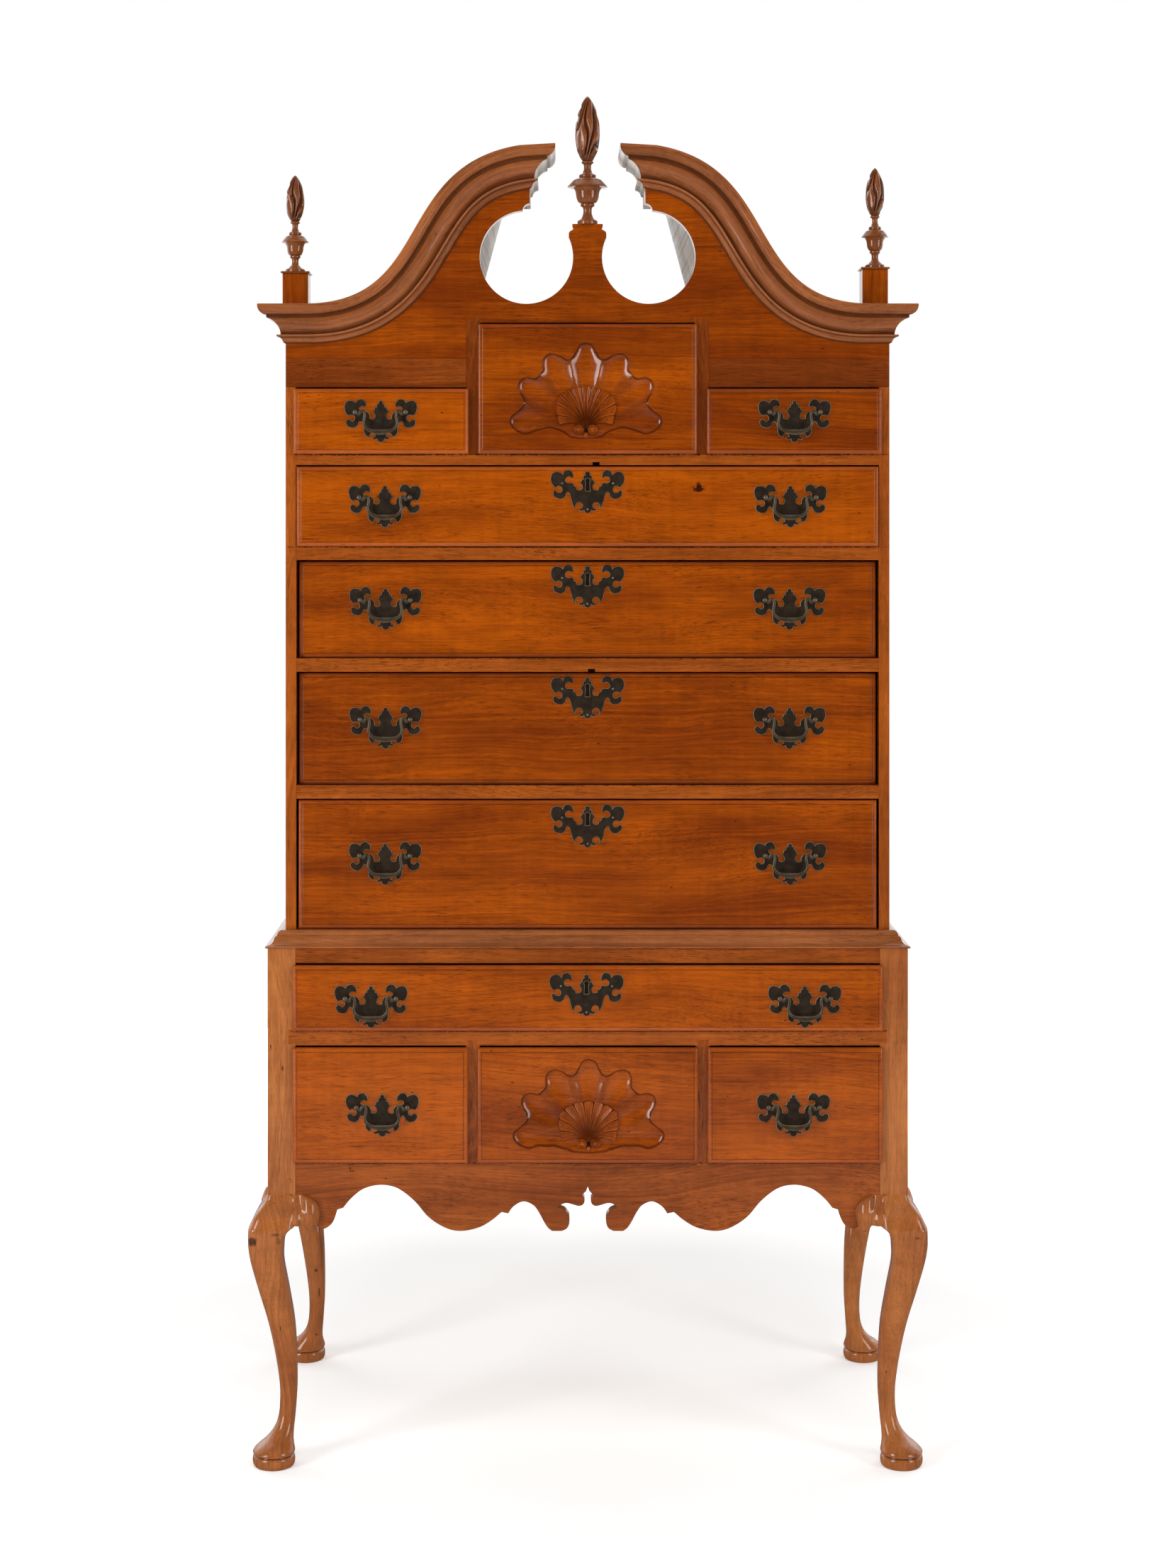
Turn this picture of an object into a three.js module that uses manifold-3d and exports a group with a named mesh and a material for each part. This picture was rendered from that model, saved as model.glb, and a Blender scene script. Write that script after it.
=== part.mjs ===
// A tall chest of drawers in two cases. The lower case stands on cabriole legs and holds four
// drawers. The upper case holds seven and carries a broken scroll pediment with three finials.
// Millimetres, +Z up, the drawer fronts face -Y. The origin is on the floor under the middle.
import * as THREE from 'three';
import { mergeVertices } from 'three/addons/utils/BufferGeometryUtils.js';
import Module from 'manifold-3d';

const wasm = await Module();
wasm.setup();

// Widths and depths of the two cases
const LOWER_WIDTH = 965;
const LOWER_DEPTH = 508;
const UPPER_SIDE_SETBACK = 24.5;
const UPPER_SETBACK = 25;

// Heights, from the floor up
const LEG_HEIGHT = 410;
const APRON_OVER_KNEE = 52.4;
const BOTTOM_OPENING = 172.2;
const MIDDLE_RAIL = 26.4;
const WAIST_OPENING = 97.6;
const TOP_RAIL = 22.4;
const WAIST_MOULDING_HEIGHT = 25;
const LONG_OPENINGS = [198, 172, 149, 123.5];
const BLADE = 20.5;
const SMALL_OPENING = 97.5;
const FRIEZE = 44;
const SHELL_OPENING = 195.5;
const BOARD_UNDER_CORNICE = 22;
const CORNICE_HEIGHT = 58;
const SCROLL_RISE = 242;

// How far boards that are joined into one piece run into each other
const JOINT_LAP = 1;

// Board thicknesses
const POST = 42;
const LOWER_SIDE_THICK = 20;
const UPPER_SIDE_THICK = 16;
const BACK_THICK = 12;
const FRONT_BOARD = 20;
const PANEL_THICK = 12;
const TOP_BOARD = 15;
const RAIL_DEPTH = 70;
const UPRIGHT = 20;
const GUIDE_DEPTH = 24;

// Upright dividers beside the middle drawers: where they start from the middle, and their width
const DIVIDER_START = 162.5;
const DIVIDER_WIDTH = 21.5;
const DIVIDER_HEAD = 3;
const BEARER_HEIGHT = 16;
const BEARER_SIDE = 20;

// Drawers
const FRONT_THICK = 20;
const LIP_THICK = 9;
const LIP_ROUND = 4.5;
const LIP_OVERLAP = 3.5;
const LIP_TOP_GAP = 1;
const BOX_WALL = 11;
const BOX_FLOOR = 8;
const BOX_SIDE_PLAY = 2;
const BOX_HEAD_PLAY = 5;
const BOX_SHORT_OF_DEPTH = 68;
const INSET_PLAY = [3, 3, 3, 0.8];
const INSET_DEPTH = [0, 9, 9, -6];
const RUNNING_GAP = 0.3;
const RUN_BESIDE_FRONT = 0.5;
const SHELL_CARVING_DEPTH = 5;
const TOP_SHELL_UP = 22;
const BOTTOM_SHELL_UP = 15;
const FAN_HALF_WIDTH = 43;
const FAN_HALF_HEIGHT = 32;
const FAN_MIDDLE_UP = 46;

// Bail pulls: the two posts' boring is the usual three inches
const PULL_BORING = 76.2;
const PULL_POST_RISE = 12.6;
const PULL_PLATE_THICK = 1.6;
const PULL_POST_RADIUS = 3.2;
const PULL_POST_LENGTH = 14;
const BAIL_AXIS_OUT = 9;
const BAIL_DROP = 30.3;
const BAIL_RADIUS = 1.9;
const BAIL_GRIP_RADIUS = 3.4;
const UPPER_PULL_IN = 135;
const WAIST_PULL_IN = 114.5;
const BOTTOM_PULL_IN = 131.5;
const WAIST_PULL_DROP = 11.5;
const BOTTOM_PULL_DROP = 13.5;

// Pediment
const SCROLL_START_IN = 33;
const SCROLL_LOW_HANDLE = 0.56;
const SCROLL_HIGH_HANDLE = 0.69;
const GAP_HALF = 87.7;
const GAP_BITE = 10.7;
const GAP_RETURN_DEPTH = 140;
const GAP_LEVEL_DROP = 1;
const CARRIER_UNDER_TOP = 6;
const CARRIER_PROUD = 0.2;
const HOLE_RADIUS = 70.9;
const HOLE_WEB = 28.8;
const PLINTH_NECK = 21.9;
const PLINTH_SHOULDER = 28.5;
const PLINTH_CAP = 23;
const PLINTH_CAP_HEIGHT = 4.5;
const PLINTH_RISE = 50.3;
const CORNICE_OUT = 38.9;
const CORNICE_HEIGHT_AT_GAP = 64;
const SIDE_PLINTH_WIDTH = 39;
const SIDE_PLINTH_CAP = 44;
const SIDE_PLINTH_CAP_HEIGHT = 3;
const SIDE_PLINTH_HEIGHT = 50;
const SIDE_PLINTH_IN = 15;
const SCROLL_STEPS = 18;
const SCROLL_END_ROOM = 12;
const BONNET_THICK = 9;
const BONNET_UNDER_EDGE = 2;
const BONNET_BESIDE_GAP = 43.3;
const BONNET_LEAN = 62;

// The front apron's lower edge, left half. Heights are from the top of the knee. The ogee is
// measured from the post, the arch in shares of its span, and the pattern from the middle.
const APRON_END_DROP = 44;
const APRON_END_FLAT = 28.5;
const APRON_OGEE = [[39.9, -52], [51.5, -47], [58.5, -37], [62.5, -23]];
const APRON_ARCH_IN = 71.9;
const APRON_ARCH_FOOT = 20;
const APRON_ARCH = [
  [0.0536, -5], [0.1324, 9], [0.2372, 14.5], [0.342, 9.5], [0.4468, -9], [0.539, -34],
  [0.6438, -50], [0.7402, -55], [0.8533, -50], [0.9371, -39], [1, -26.5],
];
const APRON_PATTERN_HALF = 130;
const APRON_PATTERN = [
  [[-119.8, -28.5], [-112, -18], [-97.3, -10.5], [-83, -15.5], [-74.8, -25], [-66, -41],
    [-60, -50], [-53.5, -55]],
  [[-38.9, -55], [-31, -50.5], [-27.6, -41], [-29, -30], [-35.5, -22.5], [-45.6, -19.5]],
  [[-38, -14], [-30, -13], [-14, -17.2], [-7, -15], [-4.7, -10]],
  [[-4.7, -5.5], [-8.5, -1], [-6.3, 1.4]],
];
const APRON_SPEAR_HALF = 2.5;
const APRON_SPEAR_TURN = 5;
const APRON_SPEAR_RISE = 12;

// The side skirts' lower edge, with heights from the top of the knee: the ogee and the arch's
// start are measured from the post, and the arch's end and the flat from the middle.
const SKIRT_END_DROP = 44;
const SKIRT_OGEE_FOOT = [40, -50];
const SKIRT_OGEE_TURN = [55, -40];
const SKIRT_OGEE_TOP = [58, -22];
const SKIRT_ARCH_START = [66, -20];
const SKIRT_ARCH_RISE = [90, 22];
const SKIRT_ARCH_FALL = [-82, 18];
const SKIRT_ARCH_END = [-52, -14];
const SKIRT_FLAT_TURN = [-32, -34];

// Finials: an urn with a lid, and a carved flame whose flutes twist as they rise
const FLAME_FLUTES = 5;
const FLAME_SIDES = 15;
const FLAME_TURNS = 0.8;
const FLAME_FLUTE_DEPTH = 0.16;
const CENTRE_FINIAL = {
  total: 195, flame: 97, flameRadius: 19, brim: 30.9, cupRadius: 20.5, baseRadius: 16, neck: 6.2,
};
const SIDE_FINIAL = {
  total: 146, flame: 69, flameRadius: 14.5, brim: 20.9, cupRadius: 15, baseRadius: 15.7, neck: 4.8,
};

// Legs
const FOOT_TOP = 28;
const POST_IN_KNEE = 4;
const LEG_SIDES = 16;
const BRACKET_PROUD = 16;
const BRACKET_ROUND = 5;
const BRACKET_REACH = 37;
const BRACKET_DROP = 55;

// Levels that follow from the heights
const apronTop = LEG_HEIGHT + APRON_OVER_KNEE;
const middleRailBottom = apronTop + BOTTOM_OPENING;
const middleRailTop = middleRailBottom + MIDDLE_RAIL;
const topRailBottom = middleRailTop + WAIST_OPENING;
const lowerTop = topRailBottom + TOP_RAIL;
const upperFloor = lowerTop + WAIST_MOULDING_HEIGHT;

// The long drawers' openings, from the lowest up, as pairs of bottom and top
const longLevels = [];
let level = upperFloor;
for (const height of LONG_OPENINGS) {
  longLevels.push([level, level + height]);
  level += height + BLADE;
}
const shelfTop = level;
const smallTop = shelfTop + SMALL_OPENING;
const friezeTop = smallTop + FRIEZE;
const shellTop = shelfTop + SHELL_OPENING;
const corniceTop = friezeTop + BOARD_UNDER_CORNICE + CORNICE_HEIGHT;
const scrollTop = corniceTop + SCROLL_RISE;
const upperSideTop = corniceTop - TOP_BOARD;

// Planes that follow from the widths and depths
const lowerHalf = LOWER_WIDTH / 2;
const upperHalf = lowerHalf - UPPER_SIDE_SETBACK;
const lowerFront = -LOWER_DEPTH / 2;
const back = LOWER_DEPTH / 2;
const upperFront = lowerFront + UPPER_SETBACK;
const postInner = lowerHalf - POST;
const lowerInner = lowerHalf - LOWER_SIDE_THICK;
const upperInner = upperHalf - UPPER_SIDE_THICK;
const dividerEnd = DIVIDER_START + DIVIDER_WIDTH;
const upperPullX = upperInner - UPPER_PULL_IN;
const waistPullX = postInner - WAIST_PULL_IN;
const bottomPullX = postInner - BOTTOM_PULL_IN;
const boxLength = LOWER_DEPTH - BOX_SHORT_OF_DEPTH;
const upperBackFace = back - BACK_THICK;
const lowerBackFace = back - LOWER_SIDE_THICK;

// Materials
const finish = (color, roughness, metalness = 0) =>
  new THREE.MeshStandardMaterial({ color, roughness, metalness });
const frontWood = finish(0x9a440a, 0.3);
const caseWood = finish(0xa85a20, 0.32);
const mouldingWood = finish(0x8f4f22, 0.35);
const legWood = finish(0xb4682e, 0.25);
const innerWood = finish(0xc29a66, 0.7);
const turnedWood = finish(0x6e3f22, 0.4);
const brass = finish(0x3c2a1a, 0.38, 0.9);

const highboy = new THREE.Group();

function add(name, geometry, material) {
  const mesh = new THREE.Mesh(geometry, material);
  mesh.name = name;
  highboy.add(mesh);
}

// Turns the triangles over where they face inwards, so that the enclosed volume is positive.
function facingOut(geometry) {
  const position = geometry.attributes.position;
  const index = geometry.index.array;
  const [a, b, c] = [new THREE.Vector3(), new THREE.Vector3(), new THREE.Vector3()];
  let volume = 0;
  for (let i = 0; i < index.length; i += 3) {
    a.fromBufferAttribute(position, index[i]);
    b.fromBufferAttribute(position, index[i + 1]);
    c.fromBufferAttribute(position, index[i + 2]);
    volume += a.dot(b.cross(c));
  }
  if (volume < 0) {
    for (let i = 0; i < index.length; i += 3) {
      [index[i + 1], index[i + 2]] = [index[i + 2], index[i + 1]];
    }
  }
  return geometry;
}

function onlyPositions(geometry) {
  const copy = geometry.clone();
  copy.deleteAttribute('normal');
  copy.deleteAttribute('uv');
  return mergeVertices(copy, 1e-4);
}

// Booleans
function toSolid(geometry) {
  const merged = facingOut(onlyPositions(geometry));
  return new wasm.Manifold(new wasm.Mesh({
    numProp: 3,
    vertProperties: new Float32Array(merged.attributes.position.array),
    triVerts: new Uint32Array(merged.index.array),
  }));
}

function toGeometry(solid) {
  const mesh = solid.getMesh();
  const geometry = new THREE.BufferGeometry();
  geometry.setAttribute('position', new THREE.BufferAttribute(mesh.vertProperties, 3));
  geometry.setIndex(new THREE.BufferAttribute(mesh.triVerts, 1));
  return geometry;
}

function join(...geometries) {
  const solids = geometries.map(toSolid);
  return toGeometry(solids.reduce((whole, piece) => whole.add(piece)));
}

function cut(geometry, ...tools) {
  const solids = tools.map(toSolid);
  return toGeometry(solids.reduce((whole, tool) => whole.subtract(tool), toSolid(geometry)));
}

// Basic forms
function box(x0, x1, y0, y1, z0, z1) {
  const geometry = new THREE.BoxGeometry(x1 - x0, y1 - y0, z1 - z0);
  return geometry.translate((x0 + x1) / 2, (y0 + y1) / 2, (z0 + z1) / 2);
}

// The same box on both sides of the middle
function boxPair(x0, x1, y0, y1, z0, z1) {
  return [box(x0, x1, y0, y1, z0, z1), box(-x1, -x0, y0, y1, z0, z1)];
}

// A board cut to an outline drawn in X and Z, with its front face at the plane y.
function frontBoard(points, y, thickness) {
  const shape = new THREE.Shape(points);
  const geometry = new THREE.ExtrudeGeometry(shape, { depth: thickness, bevelEnabled: false });
  return geometry.rotateX(Math.PI / 2).translate(0, y + thickness, 0);
}

// A board cut to an outline drawn in Y and Z, spanning x to x + thickness.
function sideBoard(points, x, thickness) {
  const shape = new THREE.Shape(points);
  const geometry = new THREE.ExtrudeGeometry(shape, { depth: thickness, bevelEnabled: false });
  const turn = new THREE.Matrix4().makeBasis(
    new THREE.Vector3(0, 1, 0), new THREE.Vector3(0, 0, 1), new THREE.Vector3(1, 0, 0));
  return geometry.applyMatrix4(turn).translate(x, 0, 0);
}

// A closed body through rings of equal point counts. The end caps are filled by the triangles
// of capOutline, a flat drawing of one ring.
function loft(rings, capOutline) {
  const count = rings[0].length;
  const positions = rings.flat().flatMap((point) => [point.x, point.y, point.z]);
  const indices = [];
  for (let ring = 0; ring + 1 < rings.length; ring += 1) {
    for (let i = 0; i < count; i += 1) {
      const next = (i + 1) % count;
      const a = ring * count + i;
      const b = ring * count + next;
      indices.push(a, b, b + count, a, b + count, a + count);
    }
  }
  const last = (rings.length - 1) * count;
  for (const [a, b, c] of THREE.ShapeUtils.triangulateShape(capOutline, [])) {
    indices.push(c, b, a, last + a, last + b, last + c);
  }
  const geometry = new THREE.BufferGeometry();
  geometry.setAttribute('position', new THREE.Float32BufferAttribute(positions, 3));
  geometry.setIndex(indices);
  return facingOut(geometry);
}

function mirrored(geometry, x, y) {
  const copy = geometry.clone().applyMatrix4(new THREE.Matrix4().makeScale(x, y, 1));
  return facingOut(copy);
}

function mirroredOutline(leftHalf) {
  const rightHalf = leftHalf.map((point) => new THREE.Vector2(-point.x, point.y)).reverse();
  const joined = [...leftHalf, ...rightHalf];
  return joined.filter((point, i) => i === 0 || point.distanceTo(joined[i - 1]) > 0.01);
}

function vectors(pairs) {
  return pairs.map(([x, y]) => new THREE.Vector2(x, y));
}

// Turned pieces: a profile of radius and height pairs, which starts and ends on the axis.
function turned(profile, sides) {
  const geometry = new THREE.LatheGeometry(vectors(profile), sides);
  return geometry.rotateX(Math.PI / 2);
}

// Lower case

// The leg's silhouette from the floor up: height, how far the outer line stands out from the
// post's outer face, how far the inner line stands in from it, and how square the section is.
const footStations = [
  [0, 16.5, 38, 2],
  [5, 20, 41.4, 2],
  [12, 20.2, 41.6, 2],
  [19, 18.5, 40, 2],
  [22, 18, 39.4, 2],
  [25, 20, 41.2, 2],
];
const legStations = [
  [0, 19, 40.5, 2],
  [0.03, 7.5, 38.4, 2],
  [0.06, -4.5, 38.6, 2],
  [0.1, -14, 40.8, 2],
  [0.16, -19.3, 43.8, 2],
  [0.24, -21, 46.6, 2.1],
  [0.36, -16.3, 47.8, 2.4],
  [0.49, -5.8, 44, 3],
  [0.62, 11.8, 35.4, 3.6],
  [0.74, 24.2, 25, 4.2],
  [0.82, 28, 24.6, 4.6],
  [0.88, 28, 30, 5],
  [0.93, 21.5, 36, 5.5],
  [0.97, 10.5, 40, 6],
  [1, 0, 42, 7],
];

// One section of the leg, drawn from the post's outer corner, as a rounded square.
function legRing(height, outer, inner, squareness) {
  const middle = (inner - outer) / 2;
  const half = (inner + outer) / 2;
  const ring = [];
  for (let i = 0; i < LEG_SIDES; i += 1) {
    const angle = (i / LEG_SIDES) * Math.PI * 2;
    const reach = (value) => Math.sign(value) * Math.abs(value) ** (2 / squareness);
    const u = middle + half * reach(Math.cos(angle));
    const v = middle + half * reach(Math.sin(angle));
    ring.push(new THREE.Vector3(u, v, height));
  }
  return ring;
}

// The knee block beside the leg, drawn inwards from the post's inner face.
function bracketOutline() {
  const path = new THREE.Path();
  const top = LEG_HEIGHT - JOINT_LAP;
  const end = POST + BRACKET_REACH - BRACKET_ROUND;
  const low = LEG_HEIGHT - BRACKET_DROP + BRACKET_ROUND;
  path.moveTo(POST / 2, top - BRACKET_ROUND);
  path.lineTo(end - 16, top - BRACKET_ROUND);
  path.quadraticCurveTo(end, top - BRACKET_ROUND, end, top - 26);
  path.quadraticCurveTo(end, low + 4, end - 10, low);
  path.quadraticCurveTo(end - 15, low + 8, POST + 2, low + 4);
  path.quadraticCurveTo(POST - 8, low + 2, POST / 2, low - 8);
  return path.getPoints(3);
}

function bracket() {
  const shape = new THREE.Shape(bracketOutline());
  const geometry = new THREE.ExtrudeGeometry(shape, {
    depth: BRACKET_PROUD - BRACKET_ROUND,
    bevelThickness: BRACKET_ROUND,
    bevelSize: BRACKET_ROUND,
    bevelSegments: 2,
  });
  const front = geometry.rotateX(Math.PI / 2);
  const keep = box(0, 2 * POST + BRACKET_REACH, -2 * BRACKET_PROUD, 0, 0, 2 * LEG_HEIGHT);
  return toGeometry(toSolid(front).intersect(toSolid(keep)));
}

// A leg and its post in one piece, with a bracket on the side, and on the front if asked.
function leg(withFrontBracket) {
  const legSpan = LEG_HEIGHT - FOOT_TOP;
  const rings = footStations.map((station) => legRing(...station));
  for (const [share, ...rest] of legStations) {
    rings.push(legRing(FOOT_TOP + share * legSpan, ...rest));
  }
  const sections = loft(rings, rings[0].map((point) => new THREE.Vector2(point.x, point.y)));
  const post = box(0, POST, 0, POST, LEG_HEIGHT - POST_IN_KNEE, lowerTop);
  const front = bracket();
  const turn = new THREE.Matrix4().makeBasis(
    new THREE.Vector3(0, 1, 0), new THREE.Vector3(1, 0, 0), new THREE.Vector3(0, 0, 1));
  const side = facingOut(onlyPositions(front).applyMatrix4(turn));
  const pieces = withFrontBracket ? [sections, post, front, side] : [sections, post, side];
  return join(...pieces);
}

function buildLegs() {
  for (const [end, hasFrontBracket, y] of [['front', true, 1], ['rear', false, -1]]) {
    const geometry = leg(hasFrontBracket).translate(-lowerHalf, -LOWER_DEPTH / 2, 0);
    add(`leg_${end}_left`, mirrored(geometry, 1, y), legWood);
    add(`leg_${end}_right`, mirrored(geometry, -1, y), legWood);
  }
}

// The sawn lower edge of the front apron, left half. It ends at the post in a small ogee, and
// the wide arch and the drop beside it fill the room up to the pattern in the middle.
function apronOutline() {
  const path = new THREE.Path();
  const knee = LEG_HEIGHT;
  const end = -postInner;
  const archStart = end + APRON_ARCH_IN;
  const archSpan = -APRON_PATTERN_HALF - archStart;
  const run = (pairs) => path.splineThru(vectors(pairs.map(([x, z]) => [x, knee + z])));
  path.moveTo(end, apronTop);
  path.lineTo(end, knee - APRON_END_DROP);
  path.lineTo(end + APRON_END_FLAT, knee - APRON_END_DROP);
  run(APRON_OGEE.map(([x, z]) => [end + x, z]));
  path.lineTo(archStart, knee - APRON_ARCH_FOOT);
  run(APRON_ARCH.map(([share, z]) => [archStart + share * archSpan, z]));
  const [scallop, lobe, tongue, spear] = APRON_PATTERN;
  for (const [flat, ...curve] of [scallop, lobe]) {
    path.lineTo(flat[0], knee + flat[1]);
    run(curve);
  }
  run(tongue);
  for (const [x, z] of spear) {
    path.lineTo(x, knee + z);
  }
  path.quadraticCurveTo(-APRON_SPEAR_HALF, knee + APRON_SPEAR_TURN, 0, knee + APRON_SPEAR_RISE);
  return mirroredOutline(path.getPoints(2));
}

// The skirt on the lower sides, an arch between two ogees, drawn along Y.
function sideSkirtOutline() {
  const path = new THREE.Path();
  const start = lowerFront + POST;
  const knee = LEG_HEIGHT;
  const fromPost = ([y, z]) => [start + y, knee + z];
  const fromMiddle = ([y, z]) => [y, knee + z];
  path.moveTo(start, lowerTop);
  path.lineTo(start, knee - SKIRT_END_DROP);
  path.lineTo(...fromPost(SKIRT_OGEE_FOOT));
  path.quadraticCurveTo(...fromPost(SKIRT_OGEE_TURN), ...fromPost(SKIRT_OGEE_TOP));
  path.lineTo(...fromPost(SKIRT_ARCH_START));
  path.bezierCurveTo(
    ...fromPost(SKIRT_ARCH_RISE), ...fromMiddle(SKIRT_ARCH_FALL), ...fromMiddle(SKIRT_ARCH_END));
  path.quadraticCurveTo(...fromMiddle(SKIRT_FLAT_TURN), 0, knee + SKIRT_FLAT_TURN[1]);
  const half = path.getPoints(6);
  const otherHalf = half.map((point) => new THREE.Vector2(-point.x, point.y)).reverse();
  return [...half, ...otherHalf.slice(1)];
}

// A flat board in the case: a deep rail at the front with a thinner panel behind it.
function shelf(half, front, rear, bottom, top) {
  const rail = box(-half, half, front, front + RAIL_DEPTH, bottom, top);
  const panel = box(
    -half, half, front + RAIL_DEPTH - JOINT_LAP, rear, top - PANEL_THICK, top);
  return [rail, panel];
}

function buildLowerFrame() {
  const behindPost = lowerFront + POST;
  const behindBoard = lowerFront + FRONT_BOARD;
  const rearPost = back - POST;
  const sideStart = postInner - JOINT_LAP;
  const bearerBottom = apronTop - BEARER_HEIGHT;
  const topSides = boxPair(sideStart, lowerInner, behindPost, rearPost, topRailBottom, lowerTop);
  const guides = boxPair(
    sideStart, lowerInner, behindPost, behindPost + GUIDE_DEPTH, bearerBottom, lowerTop);
  const topRail = box(
    -postInner, postInner, lowerFront, lowerFront + RAIL_DEPTH, topRailBottom, lowerTop);
  const rearRail = box(
    -postInner, postInner, rearPost - GUIDE_DEPTH, rearPost, topRailBottom, lowerTop);
  const panel = box(
    -lowerInner, lowerInner, behindPost, rearPost, middleRailTop - PANEL_THICK, middleRailTop);
  const muntins = boxPair(
    DIVIDER_START, dividerEnd, lowerFront, behindBoard + JOINT_LAP, apronTop,
    middleRailBottom + JOINT_LAP);
  const partitionStart = (DIVIDER_START + dividerEnd - PANEL_THICK) / 2;
  const partitions = boxPair(
    partitionStart, partitionStart + PANEL_THICK, behindBoard, lowerBackFace,
    apronTop - JOINT_LAP, middleRailTop - JOINT_LAP);
  const middleBearers = boxPair(
    DIVIDER_START - BEARER_SIDE / 2, dividerEnd + BEARER_SIDE / 2, behindBoard, lowerBackFace,
    bearerBottom, apronTop);
  const outerBearers = boxPair(
    postInner - BEARER_SIDE, postInner, behindBoard, lowerBackFace, bearerBottom, apronTop);
  const middleShelf = shelf(postInner, lowerFront, lowerBackFace, middleRailBottom, middleRailTop);
  add('lower_frame', join(
    topRail, rearRail, ...topSides, ...guides, ...middleShelf, panel, ...muntins, ...partitions,
    ...middleBearers, ...outerBearers), caseWood);
}

function buildLowerCase() {
  buildLegs();
  add('apron', frontBoard(apronOutline(), lowerFront, FRONT_BOARD), frontWood);
  const side = sideSkirtOutline();
  add('lower_side_left', sideBoard(side, -lowerHalf, LOWER_SIDE_THICK), caseWood);
  add('lower_side_right', sideBoard(side, lowerInner, LOWER_SIDE_THICK), caseWood);
  const backBottom = LEG_HEIGHT - BRACKET_DROP / 2;
  const backBoard = box(-postInner, postInner, lowerBackFace, back, backBottom, lowerTop);
  add('lower_back', backBoard, innerWood);
  buildLowerFrame();
}

// The moulding round the waist, drawn as distance out from the upper case and height.
function buildWaistMoulding() {
  const ledge = UPPER_SETBACK;
  const path = new THREE.Path();
  const height = WAIST_MOULDING_HEIGHT;
  path.moveTo(0, 0);
  path.lineTo(ledge + 1, 0);
  path.quadraticCurveTo(ledge + 5, 1.6, ledge + 1, 3.7);
  path.quadraticCurveTo(ledge - 8.5, 5, ledge - 9.5, height * 0.58);
  path.lineTo(ledge - 13, height * 0.66);
  path.quadraticCurveTo(ledge - 14, height * 0.93, ledge - 19.5, height);
  path.lineTo(0, height);
  const profile = path.getPoints(3);
  const corner = (sideSign, y) => profile.map(({ x: out, y: up }) =>
    new THREE.Vector3(sideSign * (upperHalf + out), y(out), lowerTop + up));
  const atRear = () => back;
  const atFront = (out) => upperFront - out;
  const rings = [corner(-1, atRear), corner(-1, atFront), corner(1, atFront), corner(1, atRear)];
  add('waist_moulding', loft(rings, profile), mouldingWood);
}

// Upper case

function buildUpperFrame() {
  const pieces = shelf(upperInner, upperFront, upperBackFace, lowerTop, upperFloor);
  for (const [, top] of longLevels) {
    pieces.push(...shelf(upperInner, upperFront, upperBackFace, top, top + BLADE));
  }
  const behindBoard = upperFront + FRONT_BOARD;
  const partitionStart = (DIVIDER_START + dividerEnd - PANEL_THICK) / 2;
  const start = shelfTop - JOINT_LAP;
  const head = shellTop + DIVIDER_HEAD;
  pieces.push(
    ...boxPair(DIVIDER_START, dividerEnd, upperFront, behindBoard, start, head),
    ...boxPair(
      partitionStart, partitionStart + PANEL_THICK, behindBoard - JOINT_LAP, upperBackFace, start,
      head),
    ...boxPair(
      dividerEnd - JOINT_LAP, upperHalf, upperFront, behindBoard, smallTop, friezeTop),
    ...boxPair(
      upperInner - UPRIGHT, upperInner, upperBackFace - UPRIGHT, upperBackFace, lowerTop,
      upperSideTop));
  add('upper_frame', join(...pieces), caseWood);
}

function buildUpperSides() {
  const outline = vectors([
    [upperFront, lowerTop],
    [back, lowerTop],
    [back, upperSideTop],
    [upperFront + FRONT_BOARD, upperSideTop],
    [upperFront + FRONT_BOARD, smallTop],
    [upperFront, smallTop],
  ]);
  add('upper_side_left', sideBoard(outline, -upperHalf, UPPER_SIDE_THICK), caseWood);
  add('upper_side_right', sideBoard(outline, upperInner, UPPER_SIDE_THICK), caseWood);
  const backBoard = box(-upperInner, upperInner, upperBackFace, back, lowerTop, upperSideTop);
  add('upper_back', backBoard, innerWood);
}

// The top edge of the left scroll, from the corner side up to the gap.
const scrollStartX = -upperHalf + SCROLL_START_IN;
const scrollEndX = -(GAP_HALF - CORNICE_OUT);
const scrollSpan = scrollEndX - scrollStartX;
const scrollCurve = new THREE.CubicBezierCurve(
  new THREE.Vector2(scrollStartX, corniceTop),
  new THREE.Vector2(scrollStartX + SCROLL_LOW_HANDLE * scrollSpan, corniceTop),
  new THREE.Vector2(scrollEndX - SCROLL_HIGH_HANDLE * scrollSpan, scrollTop),
  new THREE.Vector2(scrollEndX, scrollTop));

// The stations of the scroll that lie outside the gap, with the unit vector down across it.
function scrollStations() {
  const stations = [];
  for (let step = 0; step <= SCROLL_STEPS; step += 1) {
    const share = step / SCROLL_STEPS;
    const point = scrollCurve.getPoint(share);
    const tangent = scrollCurve.getTangent(share);
    if (point.x < -GAP_HALF - SCROLL_END_ROOM) {
      stations.push({ share, point, down: new THREE.Vector2(tangent.y, -tangent.x) });
    }
  }
  return stations;
}

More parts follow.
